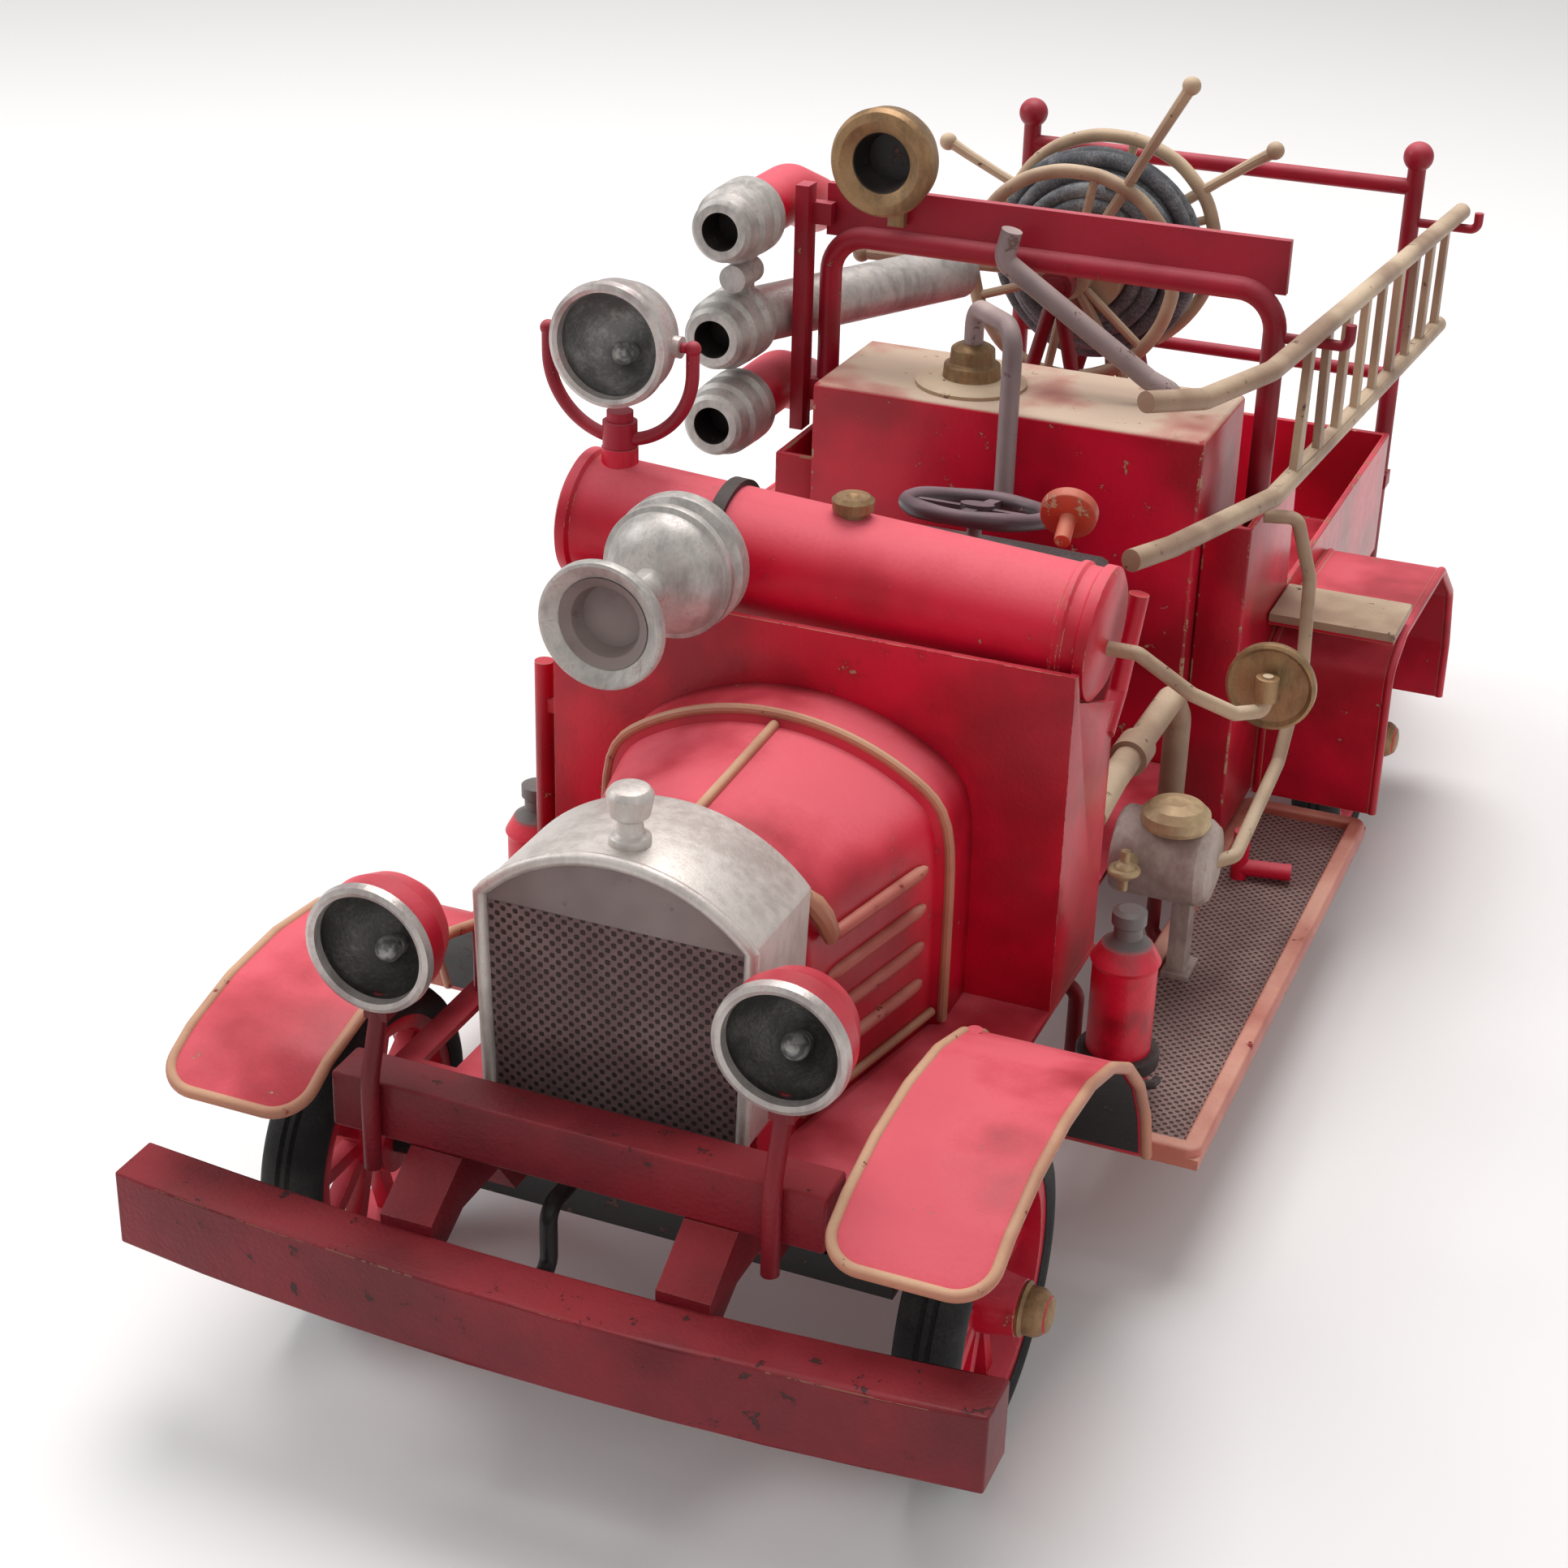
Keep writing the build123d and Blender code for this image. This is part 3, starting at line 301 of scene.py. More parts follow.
def pierced_plate(name, plate, dust, hole, across, along, pitch):
    """Stamped sheet with rows of fine holes set half a step over in every second row."""
    sheet = Recipe(name, {"Specular IOR Level": 0.4})
    turn = 2 * math.pi / (pitch * MM)
    first = (sheet.along(across) * turn).sine()
    second = (sheet.along(along) * turn).sine()
    dots = (first * second).between(0.12, 0.62)
    cloud = sheet.noise(16, 4, 0.6)
    speck = sheet.noise(0.8, 3, 0.6)
    colour = sheet.mix(plate, dust, (cloud * 0.7 + speck * 0.3).between(0.38, 0.70))
    colour = sheet.mix(colour, hole, dots)
    return sheet.finish(colour, 0.5 + speck * 0.25, 1.0 - dots, 0.35, metallic=0.25)


def rubber(name, base, dust):
    tread = Recipe(name, {"Specular IOR Level": 0.35})
    cloud = tread.noise(12, 4, 0.6)
    speck = tread.noise(0.5, 3, 0.65)
    colour = tread.mix(base, dust, (cloud * 0.6 + speck * 0.4).between(0.42, 0.72) * 0.7)
    return tread.finish(colour, 0.62 + speck * 0.25, speck * 0.6 + cloud * 0.4, 0.12)


def leather(name, base, worn):
    hide = Recipe(name, {"Specular IOR Level": 0.4, "Sheen Weight": 0.12})
    pores = hide.node("ShaderNodeTexVoronoi", {"feature": "DISTANCE_TO_EDGE"},
                      {"Vector": hide.place(), "Scale": 1 / (0.9 * MM)})
    cloud = hide.noise(9, 4, 0.6)
    colour = hide.mix(base, worn, cloud.between(0.45, 0.75))
    return hide.finish(colour, 0.45 + cloud * 0.2, pores.between(0.0, 0.25) + cloud, 0.08)


def reflector_metal(name, base):
    dish = Recipe(name, {"Metallic": 0.8})
    cloud = dish.noise(5, 4, 0.6)
    speck = dish.noise(0.7, 3, 0.6)
    light = tuple(min(1.0, part * 2.0) for part in base)
    colour = dish.mix(base, light, (cloud * 0.7 + speck * 0.3).between(0.44, 0.72))
    return dish.finish(colour, 0.36 + cloud * 0.25, speck + cloud, 0.10)


def bulb_glass(name):
    glass = Recipe(name, {"Coat Weight": 0.8, "Coat Roughness": 0.08})
    cloud = glass.noise(1.6, 3, 0.5)
    colour = glass.mix((0.12, 0.12, 0.12), (0.34, 0.33, 0.31), cloud.between(0.4, 0.6))
    return glass.finish(colour, 0.22 + cloud * 0.2, cloud, 0.03)


def bottle_paint(name, settings):
    """Red bottle with a dark neck and cap."""
    paint = Recipe(name, {"Specular IOR Level": 0.5})
    height = paint.along("Z")
    fleck = paint.noise(9, 3, 0.55)
    speck = paint.noise(0.8, 3, 0.6)
    base = paint.mix(tuple(settings.deep_red), tuple(settings.red), fleck.between(0.25, 0.55))
    # Lighter film on upward faces: partly dust, partly painted top light.
    dust_and_top_light = paint.facing("Z").between(0.2, 1.0) * 0.5
    base = paint.mix(base, tuple(settings.dust), dust_and_top_light)
    cap = (height + fleck * 0.0015).between(0.0618, 0.0630)
    colour = paint.mix(base, (0.13, 0.115, 0.11), cap)
    return paint.finish(colour, 0.32 + fleck * 0.2 + dust_and_top_light * 0.2, speck + fleck, 0.08)


PAINTS = {}


def make_paints():
    """Every finish by name, from the colours in the settings."""
    s = bpy.context.scene.engine_paints
    red, deep, dust = tuple(s.red), tuple(s.deep_red), tuple(s.dust)
    cream, silver, brass = tuple(s.cream), tuple(s.silver), tuple(s.brass)
    maroon, grey, pale = tuple(s.maroon), tuple(s.grey), tuple(s.pale_dust)
    bare = (0.42, 0.22, 0.13)
    PAINTS.update({
        "red": painted("Body red", red, deep, dust, s.dust_and_top_light_share, 0.30, 0.02, bare),
        "red_clean": painted("Panel red", red, deep, dust, 0.35, 0.26, 0.005, bare),
        "red_edge": painted("Rubbed red edge", red, deep, dust, s.dust_and_top_light_share, 0.40, 0.17, bare),
        "rail_red": painted("Dull rail red", (0.36, 0.006, 0.024), (0.20, 0.004, 0.012),
                            (0.52, 0.13, 0.16), 0.5, 0.40, 0.02, bare),
        "maroon": painted("Frame maroon", maroon, tuple(c * 0.55 for c in maroon),
                          (0.26, 0.022, 0.028), 0.40, 0.46, 0.05, (0.05, 0.02, 0.02), 0.35),
        "maroon_edge": painted("Rubbed frame edge", maroon, tuple(c * 0.5 for c in maroon),
                               (0.34, 0.14, 0.11), 0.6, 0.5, 0.26, (0.30, 0.15, 0.10), 0.35),
        "box_red": painted("Pump box red", red, deep, pale, 0.98, 0.30, 0.05, bare),
        "cream": painted("Worn cream lining", cream, tuple(c * 0.66 for c in cream),
                         (0.62, 0.42, 0.27), 0.5, 0.45, 0.05, (0.26, 0.03, 0.03), 0.15),
        "pink": painted("Rubbed rib paint", (0.52, 0.16, 0.11), (0.34, 0.06, 0.045),
                        (0.66, 0.36, 0.28), 0.6, 0.40, 0.05, (0.24, 0.02, 0.02), 0.15),
        "board_edge": painted("Chipped board edge", cream, (0.36, 0.10, 0.07),
                              (0.62, 0.42, 0.30), 0.5, 0.45, 0.20, (0.28, 0.02, 0.02), 0.2),
        "ladder": painted("Worn tan paint", (0.44, 0.31, 0.20), (0.24, 0.14, 0.09),
                          (0.60, 0.47, 0.34), 0.65, 0.48, 0.05, (0.12, 0.06, 0.05), 0.2),
        "silver": worn_metal("Dull silver", silver, tuple(c * 0.58 for c in silver),
                             (0.25, 0.15, 0.135), 0.5, 0.38, 0.75),
        "shell": worn_metal("Radiator silver", (0.64, 0.60, 0.56), (0.46, 0.41, 0.38),
                            (0.34, 0.16, 0.15), 0.45, 0.36, 0.35),
        "rim": worn_metal("Lamp rim silver", (0.58, 0.54, 0.51), (0.38, 0.32, 0.31),
                          (0.38, 0.12, 0.13), 0.6, 0.28, 0.55),
        "brass": worn_metal("Aged brass", brass, tuple(c * 0.5 for c in brass),
                            (0.16, 0.09, 0.05), 0.55, 0.38, 0.7),
        "pump": worn_metal("Dusty pump silver", (0.46, 0.38, 0.34), (0.30, 0.22, 0.20),
                           (0.20, 0.12, 0.10), 0.3, 0.45, 0.5),
        "pale_brass": worn_metal("Dusty brass", (0.56, 0.42, 0.24), (0.36, 0.25, 0.14),
                                 (0.22, 0.13, 0.08), 0.35, 0.42, 0.5),
        "grey": painted("Mauve grey paint", grey, tuple(c * 0.6 for c in grey),
                        (0.48, 0.38, 0.36), 0.6, 0.42, 0.08, (0.16, 0.09, 0.08), 0.15),
        "wheel_grey": painted("Steering grey", (0.085, 0.050, 0.060), (0.045, 0.028, 0.033),
                              (0.24, 0.16, 0.18), 0.6, 0.34, 0.05, (0.3, 0.2, 0.2), 0.10),
        # Black also stands for painted shade under the front fenders, in the siren's grooves and
        # inside the bell and nozzle mouths.
        "black": painted("Black paint", (0.022, 0.018, 0.018), (0.012, 0.010, 0.010),
                         (0.09, 0.07, 0.065), 0.5, 0.42, 0.10, (0.10, 0.05, 0.04), 0.20),
        "orange": painted("Orange knob paint", (0.50, 0.07, 0.03), (0.30, 0.03, 0.015),
                          (0.62, 0.24, 0.16), 0.6, 0.34, 0.08, (0.4, 0.25, 0.15), 0.12),
        "grille": pierced_plate("Radiator mesh", (0.130, 0.078, 0.078), (0.215, 0.145, 0.14),
                                (0.035, 0.020, 0.020), "X", "Z", 2.3),
        "tread": pierced_plate("Pierced tread", (0.22, 0.14, 0.13), (0.33, 0.23, 0.21),
                               (0.07, 0.04, 0.036), "X", "Y", 2.1),
        "tyre": rubber("Tyre rubber", (0.010, 0.010, 0.011), (0.055, 0.052, 0.050)),
        "hose": rubber("Hose rubber", tuple(bpy.context.scene.engine_hose.rubber),
                       (0.34, 0.34, 0.35)),
        "leather": leather("Cushion leathercloth", (0.020, 0.014, 0.014), (0.07, 0.05, 0.045)),
        "reflector": reflector_metal("Lamp reflector",
                                     tuple(bpy.context.scene.engine_lamps.reflector)),
        # Darker grey-brown that stands for painted shade in the radiator's top recess and inside
        # the siren's mouth.
        "sunk": painted("Dull sunk panel", (0.25, 0.20, 0.19), (0.15, 0.11, 0.105),
                        (0.30, 0.24, 0.22), 0.4, 0.5, 0.03, (0.2, 0.15, 0.13), 0.15),
        "pale_dish": reflector_metal("Searchlight dish", (0.24, 0.235, 0.23)),
        "bulb": bulb_glass("Bulb glass"),
        "bottle": bottle_paint("Bottle red", s),
    })


# --------------------------------------------------------------------------- mesh helpers
def add_piece(name, mesh, body, finishes, replaced=(), sharp=35.0):
    """Links a mesh as a piece that rides on a body and carries its finishes."""
    for finish in finishes:
        mesh.materials.append(PAINTS[finish])
    mesh.shade_smooth()
    mesh.set_sharp_from_angle(angle=math.radians(sharp))
    piece = bpy.data.objects.new(name, mesh)
    bpy.context.scene.collection.objects.link(piece)
    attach(piece, body)
    if replaced:
        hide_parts(*replaced)
    return piece


def mesh_from(shape, name):
    bmesh.ops.recalc_face_normals(shape, faces=shape.faces)
    mesh = bpy.data.meshes.new(name)
    shape.to_mesh(mesh)
    shape.free()
    return mesh


def add_shape(shape, name, body, finishes, replaced=(), sharp=35.0):
    """Turns a finished shape into a piece."""
    mesh = mesh_from(shape, f"{name}_shape")
    return add_piece(name, mesh, body, finishes, replaced, sharp)


def softened(node, width, finish, edge=None, wobble=0.0):
    """Copy of a part with rounded edges; the rounding takes the rubbed finish."""
    shape = bmesh.new()
    shape.from_mesh(NODES[node].data)
    bmesh.ops.remove_doubles(shape, verts=shape.verts, dist=MERGE_METRES)
    bmesh.ops.dissolve_limit(shape, angle_limit=math.radians(FLAT_DEGREES),
                             verts=shape.verts, edges=shape.edges)
    for face in shape.faces:
        face.material_index = 0
    corners = [e for e in shape.edges
               if e.is_manifold and e.calc_face_angle(0.0) > math.radians(CORNER_DEGREES)]
    bmesh.ops.bevel(shape, geom=corners, offset=width * MM, material=1 if edge else -1,
                    **ROUNDED)
    if wobble:
        # Until a seed is set, noise_vector takes its offsets from the clock.
        noise.seed_set(WOBBLE_SEED)
        for vert in shape.verts:
            vert.co += noise.noise_vector(vert.co / (14 * MM)) * wobble * MM
    mesh = mesh_from(shape, f"{node}_shape")
    finishes = [finish, edge] if edge else [finish]
    return add_piece(f"{node}_finished", mesh, NODES[node]["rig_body"], finishes,
                     [node])


def coated(node, finish):
    """Keeps the drawn part and gives it a finish."""
    data = NODES[node].data
    data.materials.clear()
    data.materials.append(PAINTS[finish])


def ring_of(shape, centre, side, up, radius, sides):
    steps = [2 * math.pi * step / sides for step in range(sides)]
    return [shape.verts.new(centre + (side * math.cos(a) + up * math.sin(a)) * radius)
            for a in steps]


def bridge(shape, first, second):
    count = len(first)
    for step in range(count):
        after = (step + 1) % count
        shape.faces.new((first[step], first[after], second[after], second[step]))


def sweep_into(shape, points, radius, sides=12, closed=False):
    """Round bar along the points; radius may be a number or one per point (millimetres)."""
    count = len(points)
    radii = radius if isinstance(radius, (list, tuple)) else [radius] * count
    rings = []
    side = None
    for step, point in enumerate(points):
        before = points[step - 1] if step or closed else point
        after = points[(step + 1) % count] if step < count - 1 or closed else point
        ahead = (after - before).normalized()
        if side is None:
            side = ahead.orthogonal().normalized()
        side = (side - ahead * side.dot(ahead)).normalized()
        rings.append(ring_of(shape, point, side, ahead.cross(side), radii[step] * MM, sides))
    for step in range(count - 1):
        bridge(shape, rings[step], rings[step + 1])
    if closed:
        turn = nearest_turn(rings[-1], rings[0])
        bridge(shape, rings[-1], rings[0][turn:] + rings[0][:turn])
    else:
        shape.faces.new(rings[0])
        shape.faces.new(rings[-1])


def sheet_into(shape, lines):
    """Open sheet through lines that all have the same count of points."""
    rows = [[shape.verts.new(point) for point in line] for line in lines]
    for first, second in zip(rows, rows[1:]):
        for step in range(len(first) - 1):
            shape.faces.new((first[step], first[step + 1], second[step + 1], second[step]))


def nearest_turn(last, first):
    """How far round the first ring starts, so that a closed bar doesn't twist."""
    gaps = [(vert.co - last[0].co).length for vert in first]
    return gaps.index(min(gaps))


def lathe_into(shape, centre, axis, outline, steps=64):
    """Turned shape from (along, radius) millimetre pairs; a zero radius closes it."""
    axis = Vector(axis).normalized()
    side = axis.orthogonal().normalized()
    up = axis.cross(side)
    before = None
    for along, radius in outline:
        middle = centre + axis * along * MM
        if radius <= 0:
            ring = [shape.verts.new(middle)]
        else:
            ring = ring_of(shape, middle, side, up, radius * MM, steps)
        if before:
            join_rings(shape, before, ring)
        before = ring


def join_rings(shape, first, second):
    if len(first) == len(second):
        bridge(shape, first, second)
        return
    tip, ring = (first[0], second) if len(first) == 1 else (second[0], first)
    for step in range(len(ring)):
        shape.faces.new((tip, ring[step], ring[(step + 1) % len(ring)]))


def ball_into(shape, centre, radius):
    turns = [math.pi * step / 10 for step in range(11)]
    outline = [(-radius * math.cos(a), radius * math.sin(a) if 0 < step < 10 else 0)
               for step, a in enumerate(turns)]
    lathe_into(shape, centre, (0, 0, 1), outline, 20)


def slab_into(shape, low, high, width=0.5):
    """Flat block with rounded edges between two opposite corners"""
    made = bmesh.ops.create_cube(shape, size=1.0)["verts"]
    for vert in made:
        share = vert.co + Vector((0.5, 0.5, 0.5))
        vert.co = Vector([a + (b - a) * f for a, b, f in zip(low, high, share)])
    edges = {edge for vert in made for edge in vert.link_edges}
    bmesh.ops.bevel(shape, geom=list(edges), offset=width * MM, **ROUNDED)


def eased(line, rounds):
    """Line with its corners rounded off, its ends left where they are"""
    for _ in range(rounds):
        inner = [tuple((a + 2 * b + c) / 4 for a, b, c in zip(*three))
                 for three in zip(line, line[1:], line[2:])]
        line = [line[0], *inner, line[-1]]
    return line


def arch_line(half, low, spring, apex):
    """Across-the-vehicle outline with straight sides and a round top, left to right."""
    rise = apex - spring
    radius = (half * half + rise * rise) / (2 * rise)
    reach = math.asin(min(1.0, half / radius))
    sides = [low + (spring - low) * step / SIDE_STEPS for step in range(SIDE_STEPS)]
    arc = [reach * (1 - step / TOP_STEPS) for step in range(2 * TOP_STEPS + 1)]
    top = [(radius * math.sin(a), apex - radius + radius * math.cos(a)) for a in arc]
    return [(half, z) for z in sides] + top + [(-half, z) for z in reversed(sides)]


# --------------------------------------------------------------------------------- pieces
class EngineTask(bpy.types.Operator):
    """Base of the build steps"""

    bl_idname = "engine.task"
    bl_label = "Build step"

    def execute(self, context):
        self.build(context)
        return {"FINISHED"}

    def build(self, context):
        raise RuntimeError("a build step has nothing to build")


class ENGINE_OT_panels(EngineTask):
    """Rounds and paints the sheet-metal body panels"""

    bl_idname = "engine.panels"
    bl_label = "Body panels"

    rivet_top = 67.0

    def build(self, context):
        make_paints()
        softened("front_bumper", 0.5, "maroon", "maroon_edge", 0.25)
        softened("front_cross_beam", 0.6, "maroon", "maroon_edge", 0.15)
        softened("chassis_frame", 0.5, "maroon", "maroon_edge")
        floor = softened("floor_pan", 0.3, "red", "red_edge")
        for vert in floor.data.vertices:
            vert.co.z = min(vert.co.z, self.rivet_top * MM)
        softened("dash_panel", 0.6, "red_clean", "board_edge")
        softened("cross_tank", 0.4, "red", "red_edge")
        softened("booster_box", 0.8, "box_red", "red_edge")
        softened("rear_body", 0.5, "red_clean", "red_edge")
        softened("seat_box", 0.5, "maroon", "maroon_edge")
        softened("tailboard", 0.4, "red", "red_edge")
        softened("roll_bar", 0.4, "rail_red", "board_edge")
        softened("rear_handrail", 0.3, "rail_red", "red_edge")


class ENGINE_OT_hood(EngineTask):
    """Builds the hood with its collar, hinge line, beads, side ribs and catches"""

    bl_idname = "engine.hood"
    bl_label = "Hood"

    front, length = 58, 48
    flare, rise = 10, 2.4
    foot = 50.5
    shoulders = 5

    def build(self, context):
        self.skin()
        self.beads()
        self.ribs()
        self.catches()

    def grown(self, start, growth, distance):
        """Measure that grows evenly from the front of the hood to its back"""
        return start + growth * (distance - self.front) / self.length

    def hood_line(self, distance):
        line = arch_line(self.grown(24, self.flare, distance), self.foot,
                         self.grown(88, 6, distance), self.grown(104.2, self.rise, distance))
        return eased(line, self.shoulders)

    def skin(self):
        sections = [(y, self.hood_line(y)) for y in (58, 62, 68, 75, 82, 89, 96, 102)]
        collar = ((102.4, 34.2, 107.3), (102.8, 35.0, 108.2), (104, 35.3, 108.6),
                  (108, 35.3, 108.6), (112, 35.3, 108.6), (116, 35.3, 108.6))
        sections += [(y, eased(arch_line(half, self.foot, 94.5, apex), self.shoulders))
                     for y, half, apex in collar]
        shape = bmesh.new()
        sheet_into(shape, [[at(x, y, z) for x, z in line] for y, line in sections])
        piece = add_shape(shape, "hood_skin", "body", ["red"], ["hood"], 40)
        sheet = piece.modifiers.new("Sheet", "SOLIDIFY")
        sheet.thickness = 0.8 * MM
        sheet.offset = -1

    def beads(self):
        """Raised beads round the collar, along the hinge and along both foot edges"""
        shape = bmesh.new()
        ring = eased(arch_line(35.3, 51.5, 94.6, 108.6), self.shoulders)
        sweep_into(shape, [at(x, 103.2, z) for x, z in ring], 1.0, 10)
        hinge = [at(0, y, self.grown(104.4, self.rise, y)) for y in range(60, 103, 6)]
        sweep_into(shape, hinge, 1.0)
        for side in (-1, 1):
            edge = [at(side * self.grown(24.4, self.flare, y), y, 53.5)
                    for y in (59, 75, 90, 102)]
            sweep_into(shape, edge, 0.9)
        add_shape(shape, "hood_lining", "body", ["cream"], ["hood_trim"])

    def ribs(self):
        """Side ribs that taper off at both ends"""
        shape = bmesh.new()
        places = (66, 67, 69, 75, 82, 89, 95, 97, 98)
        radii = [0.3, 0.9, 1.3, 1.35, 1.35, 1.35, 1.3, 0.9, 0.3]
        for side in (-1, 1):
            for level in range(4):
                rib = [at(side * self.grown(24.2, self.flare, y), y, 62 + 8 * level)
                       for y in places]
                sweep_into(shape, rib, radii)
        add_shape(shape, "hood_ribs", "body", ["pink"])

    def catches(self):
        """Small sprung catches that hold the hood down behind the radiator"""
        shape = bmesh.new()
        for side in (-1, 1):
            strap = [at(side * x, y, z) for x, y, z in
                     ((23.2, 60, 97), (24.9, 61, 95), (26.2, 62.5, 92), (26.9, 64, 88.5),
                      (26.6, 65, 86.5))]
            sweep_into(shape, strap, [1.5, 2.0, 2.0, 1.8, 1.2], 10)
        add_shape(shape, "hood_catches", "body", ["cream"])


class ENGINE_OT_radiator(EngineTask):
    """Finishes the radiator shell, its pierced mesh and the filler cap"""

    bl_idname = "engine.radiator"
    bl_label = "Radiator"

    def build(self, context):
        softened("radiator_shell", 0.9, "shell")
        coated("radiator_grille", "grille")
        softened("radiator_cap", 0.3, "shell")
        self.lip()
        self.top_panel()
        self.mesh_front()

    def lip(self):
        """Rolled edge that stands out round the front of the shell"""
        shape = bmesh.new()
        line = [at(x * (0.955 + 0.045 * min(1.0, (z - 60) / 40)), 33.6, z)
                for x, z in arch_line(25.0, 60.4, 99.6, 110.6)]
        sweep_into(shape, line, 1.25, 12)
        sweep_into(shape, [at(x, 33.6, 60.6) for x in (-23.9, -12, 0, 12, 23.9)], 1.0)
        add_shape(shape, "radiator_lip", "body", ["shell"])

    def top_panel(self):
        """Darker panel in the recess above the mesh: painted shade"""
        arch = arch_line(23.9, 98.4, 99.4, 109.4)[SIDE_STEPS:-SIDE_STEPS]
        top = [at(x, 33.8, z) for x, z in arch]
        foot = [at(23.9 * (1 - step / TOP_STEPS), 33.8, 98.2) for step in range(len(top))]
        shape = bmesh.new()
        sheet_into(shape, [foot, top])
        # The darker finish here is painted shade in the recess.
        add_shape(shape, "radiator_panel", "body", ["sunk"])

    def mesh_front(self):
        """Pierced mesh over the whole front, a little uneven"""
        lines = []
        for step in range(25):
            z = 61.6 + 36.8 * step / 24
            half = 22.4 + 1.5 * (z - 60) / 38
            lines.append([at(half * (1 - across / 12), 33.75, z) for across in range(25)])
        shape = bmesh.new()
        sheet_into(shape, lines)
        for vert in shape.verts:
            vert.co.y += noise.noise(vert.co / (11 * MM)) * RIPPLE * MM
        add_shape(shape, "radiator_mesh", "body", ["grille"])


class ENGINE_OT_fenders(EngineTask):
    """Finishes the fenders and running boards, with treads, step plates and a pedal"""

    bl_idname = "engine.fenders"
    bl_label = "Fenders and boards"

    def build(self, context):
        softened("front_fenders", 0.3, "red", "red_edge")
        coated("front_fender_beads", "cream")
        softened("rear_fenders", 0.4, "red", "cream")
        softened("running_boards", 0.4, "pink", "cream")
        self.treads()
        self.steps()
        self.pedal()
        self.undersides()

    def undersides(self):
        """Dark sheet just under the front fenders: painted shade"""
        line = [(11.5, 63.2), (20, 67.6), (33, 71), (48, 72.2), (63, 70.8), (77, 66.4),
                (89, 59.4), (99, 50), (106.4, 39), (110.2, 28.6)]
        shape = bmesh.new()
        for side in (-1, 1):
            rows = []
            for step, (y, z) in enumerate(line):
                before, after = line[max(0, step - 1)], line[min(step + 1, len(line) - 1)]
                ahead = Vector((after[0] - before[0], after[1] - before[1])).normalized()
                y, z = y + 0.95 * ahead.y, z - 0.95 * ahead.x
                rows.append([at(side * x, y, z) for x in (49.4, 58, 66, 74.2)])
            sheet_into(shape, rows)
        # Black sheet under the fenders: painted shade.
        add_shape(shape, "fender_undersides", "body", ["black"])

    def steps(self):
        """Worn step plates on the front corners of the rear fenders"""
        shape = bmesh.new()
        for side in (-1, 1):
            slab_into(shape, at(side * 71.5 - 14.7, 264.2, 75.9),
                      at(side * 71.5 + 14.7, 284.8, 78.0))
        add_shape(shape, "step_plates", "body", ["ladder"])

    def pedal(self):
        """Bent bar that stands on the left running board"""
        x, distance, radius = 63.5, 229, 1.95
        shape = bmesh.new()
        sweep_into(shape, [at(x, distance, z) for z in (27.4, 33, 39.1)], radius)
        foot = [at(x + 2.3 * step, distance + 0.4 * step, 30) for step in range(6)]
        sweep_into(shape, foot, radius)
        add_shape(shape, "foot_pedal", "body", ["red"])

    def treads(self):
        """Pierced plates let into the tops of the boards"""
        shape = bmesh.new()
        for side in (-1, 1):
            corners = [at(side * x, y, 27.35) for x, y in
                       ((59.0, 116.7), (81.0, 116.7), (81.0, 263.3), (59.0, 263.3))]
            face = shape.faces.new([shape.verts.new(corner) for corner in corners])
            face.normal_update()
            if face.normal.z < 0:
                face.normal_flip()
        bmesh.ops.subdivide_edges(shape, edges=shape.edges, cuts=12, use_grid_fill=True)
        for vert in shape.verts:
            vert.co.z += noise.noise(vert.co / (9 * MM)) * RIPPLE * MM
        mesh = bpy.data.meshes.new("tread_plates_shape")
        shape.to_mesh(mesh)
        shape.free()
        add_piece("tread_plates", mesh, "body", ["tread"])


class ENGINE_OT_wheels(EngineTask):
    """Builds the tyres, wheels, hub caps, axles and starting crank"""

    bl_idname = "engine.wheels"
    bl_label = "Wheels"

    tyre_line = [(-5.2, 24.2), (-5.9, 25.2), (-6.0, 26.6), (-5.6, 28.0), (-4.6, 29.1),
                 (-3.2, 29.7), (-1.6, 29.95), (-1.2, 29.4), (-0.8, 29.4), (-0.4, 30.0),
                 (0.4, 30.0), (0.8, 29.4), (1.2, 29.4), (1.6, 29.95), (3.2, 29.7), (4.6, 29.1),
                 (5.6, 28.0), (6.0, 26.6), (5.9, 25.2), (5.2, 24.2), (-5.2, 24.2)]

    cap_line = [(8.4, 0), (8.4, 4.9), (9.2, 5.1), (9.8, 4.5), (11.8, 4.4), (12.6, 4.0),
                (13.8, 3.0), (14.2, 1.6), (14.3, 0)]

    def build(self, context):
        for end, x, distance in (("front", 61, 52), ("rear", 69, 312)):
            for word, side in (("left", 1), ("right", -1)):
                self.wheel(f"{end}_{word}", side * x, distance, side)
        softened("front_axle", 0.3, "black")
        softened("rear_axle", 0.3, "black")
        softened("starting_crank", 0.3, "black")

    def wheel(self, corner, x, distance, side):
        body = NODES[f"wheel_{corner}"]["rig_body"]
        softened(f"wheel_{corner}", 0.35, "red", "red_edge")
        shape = bmesh.new()
        lathe_into(shape, at(x, distance, AXLE_HEIGHT), (1, 0, 0), self.tyre_line, 96)
        add_shape(shape, f"tyre_{corner}_rubber", body, ["tyre"],
                  [f"tyre_{corner}"], 50)
        cap = bmesh.new()
        lathe_into(cap, at(x, distance, AXLE_HEIGHT), (side, 0, 0), self.cap_line, 32)
        add_shape(cap, f"hub_cap_{corner}", body, ["brass"])


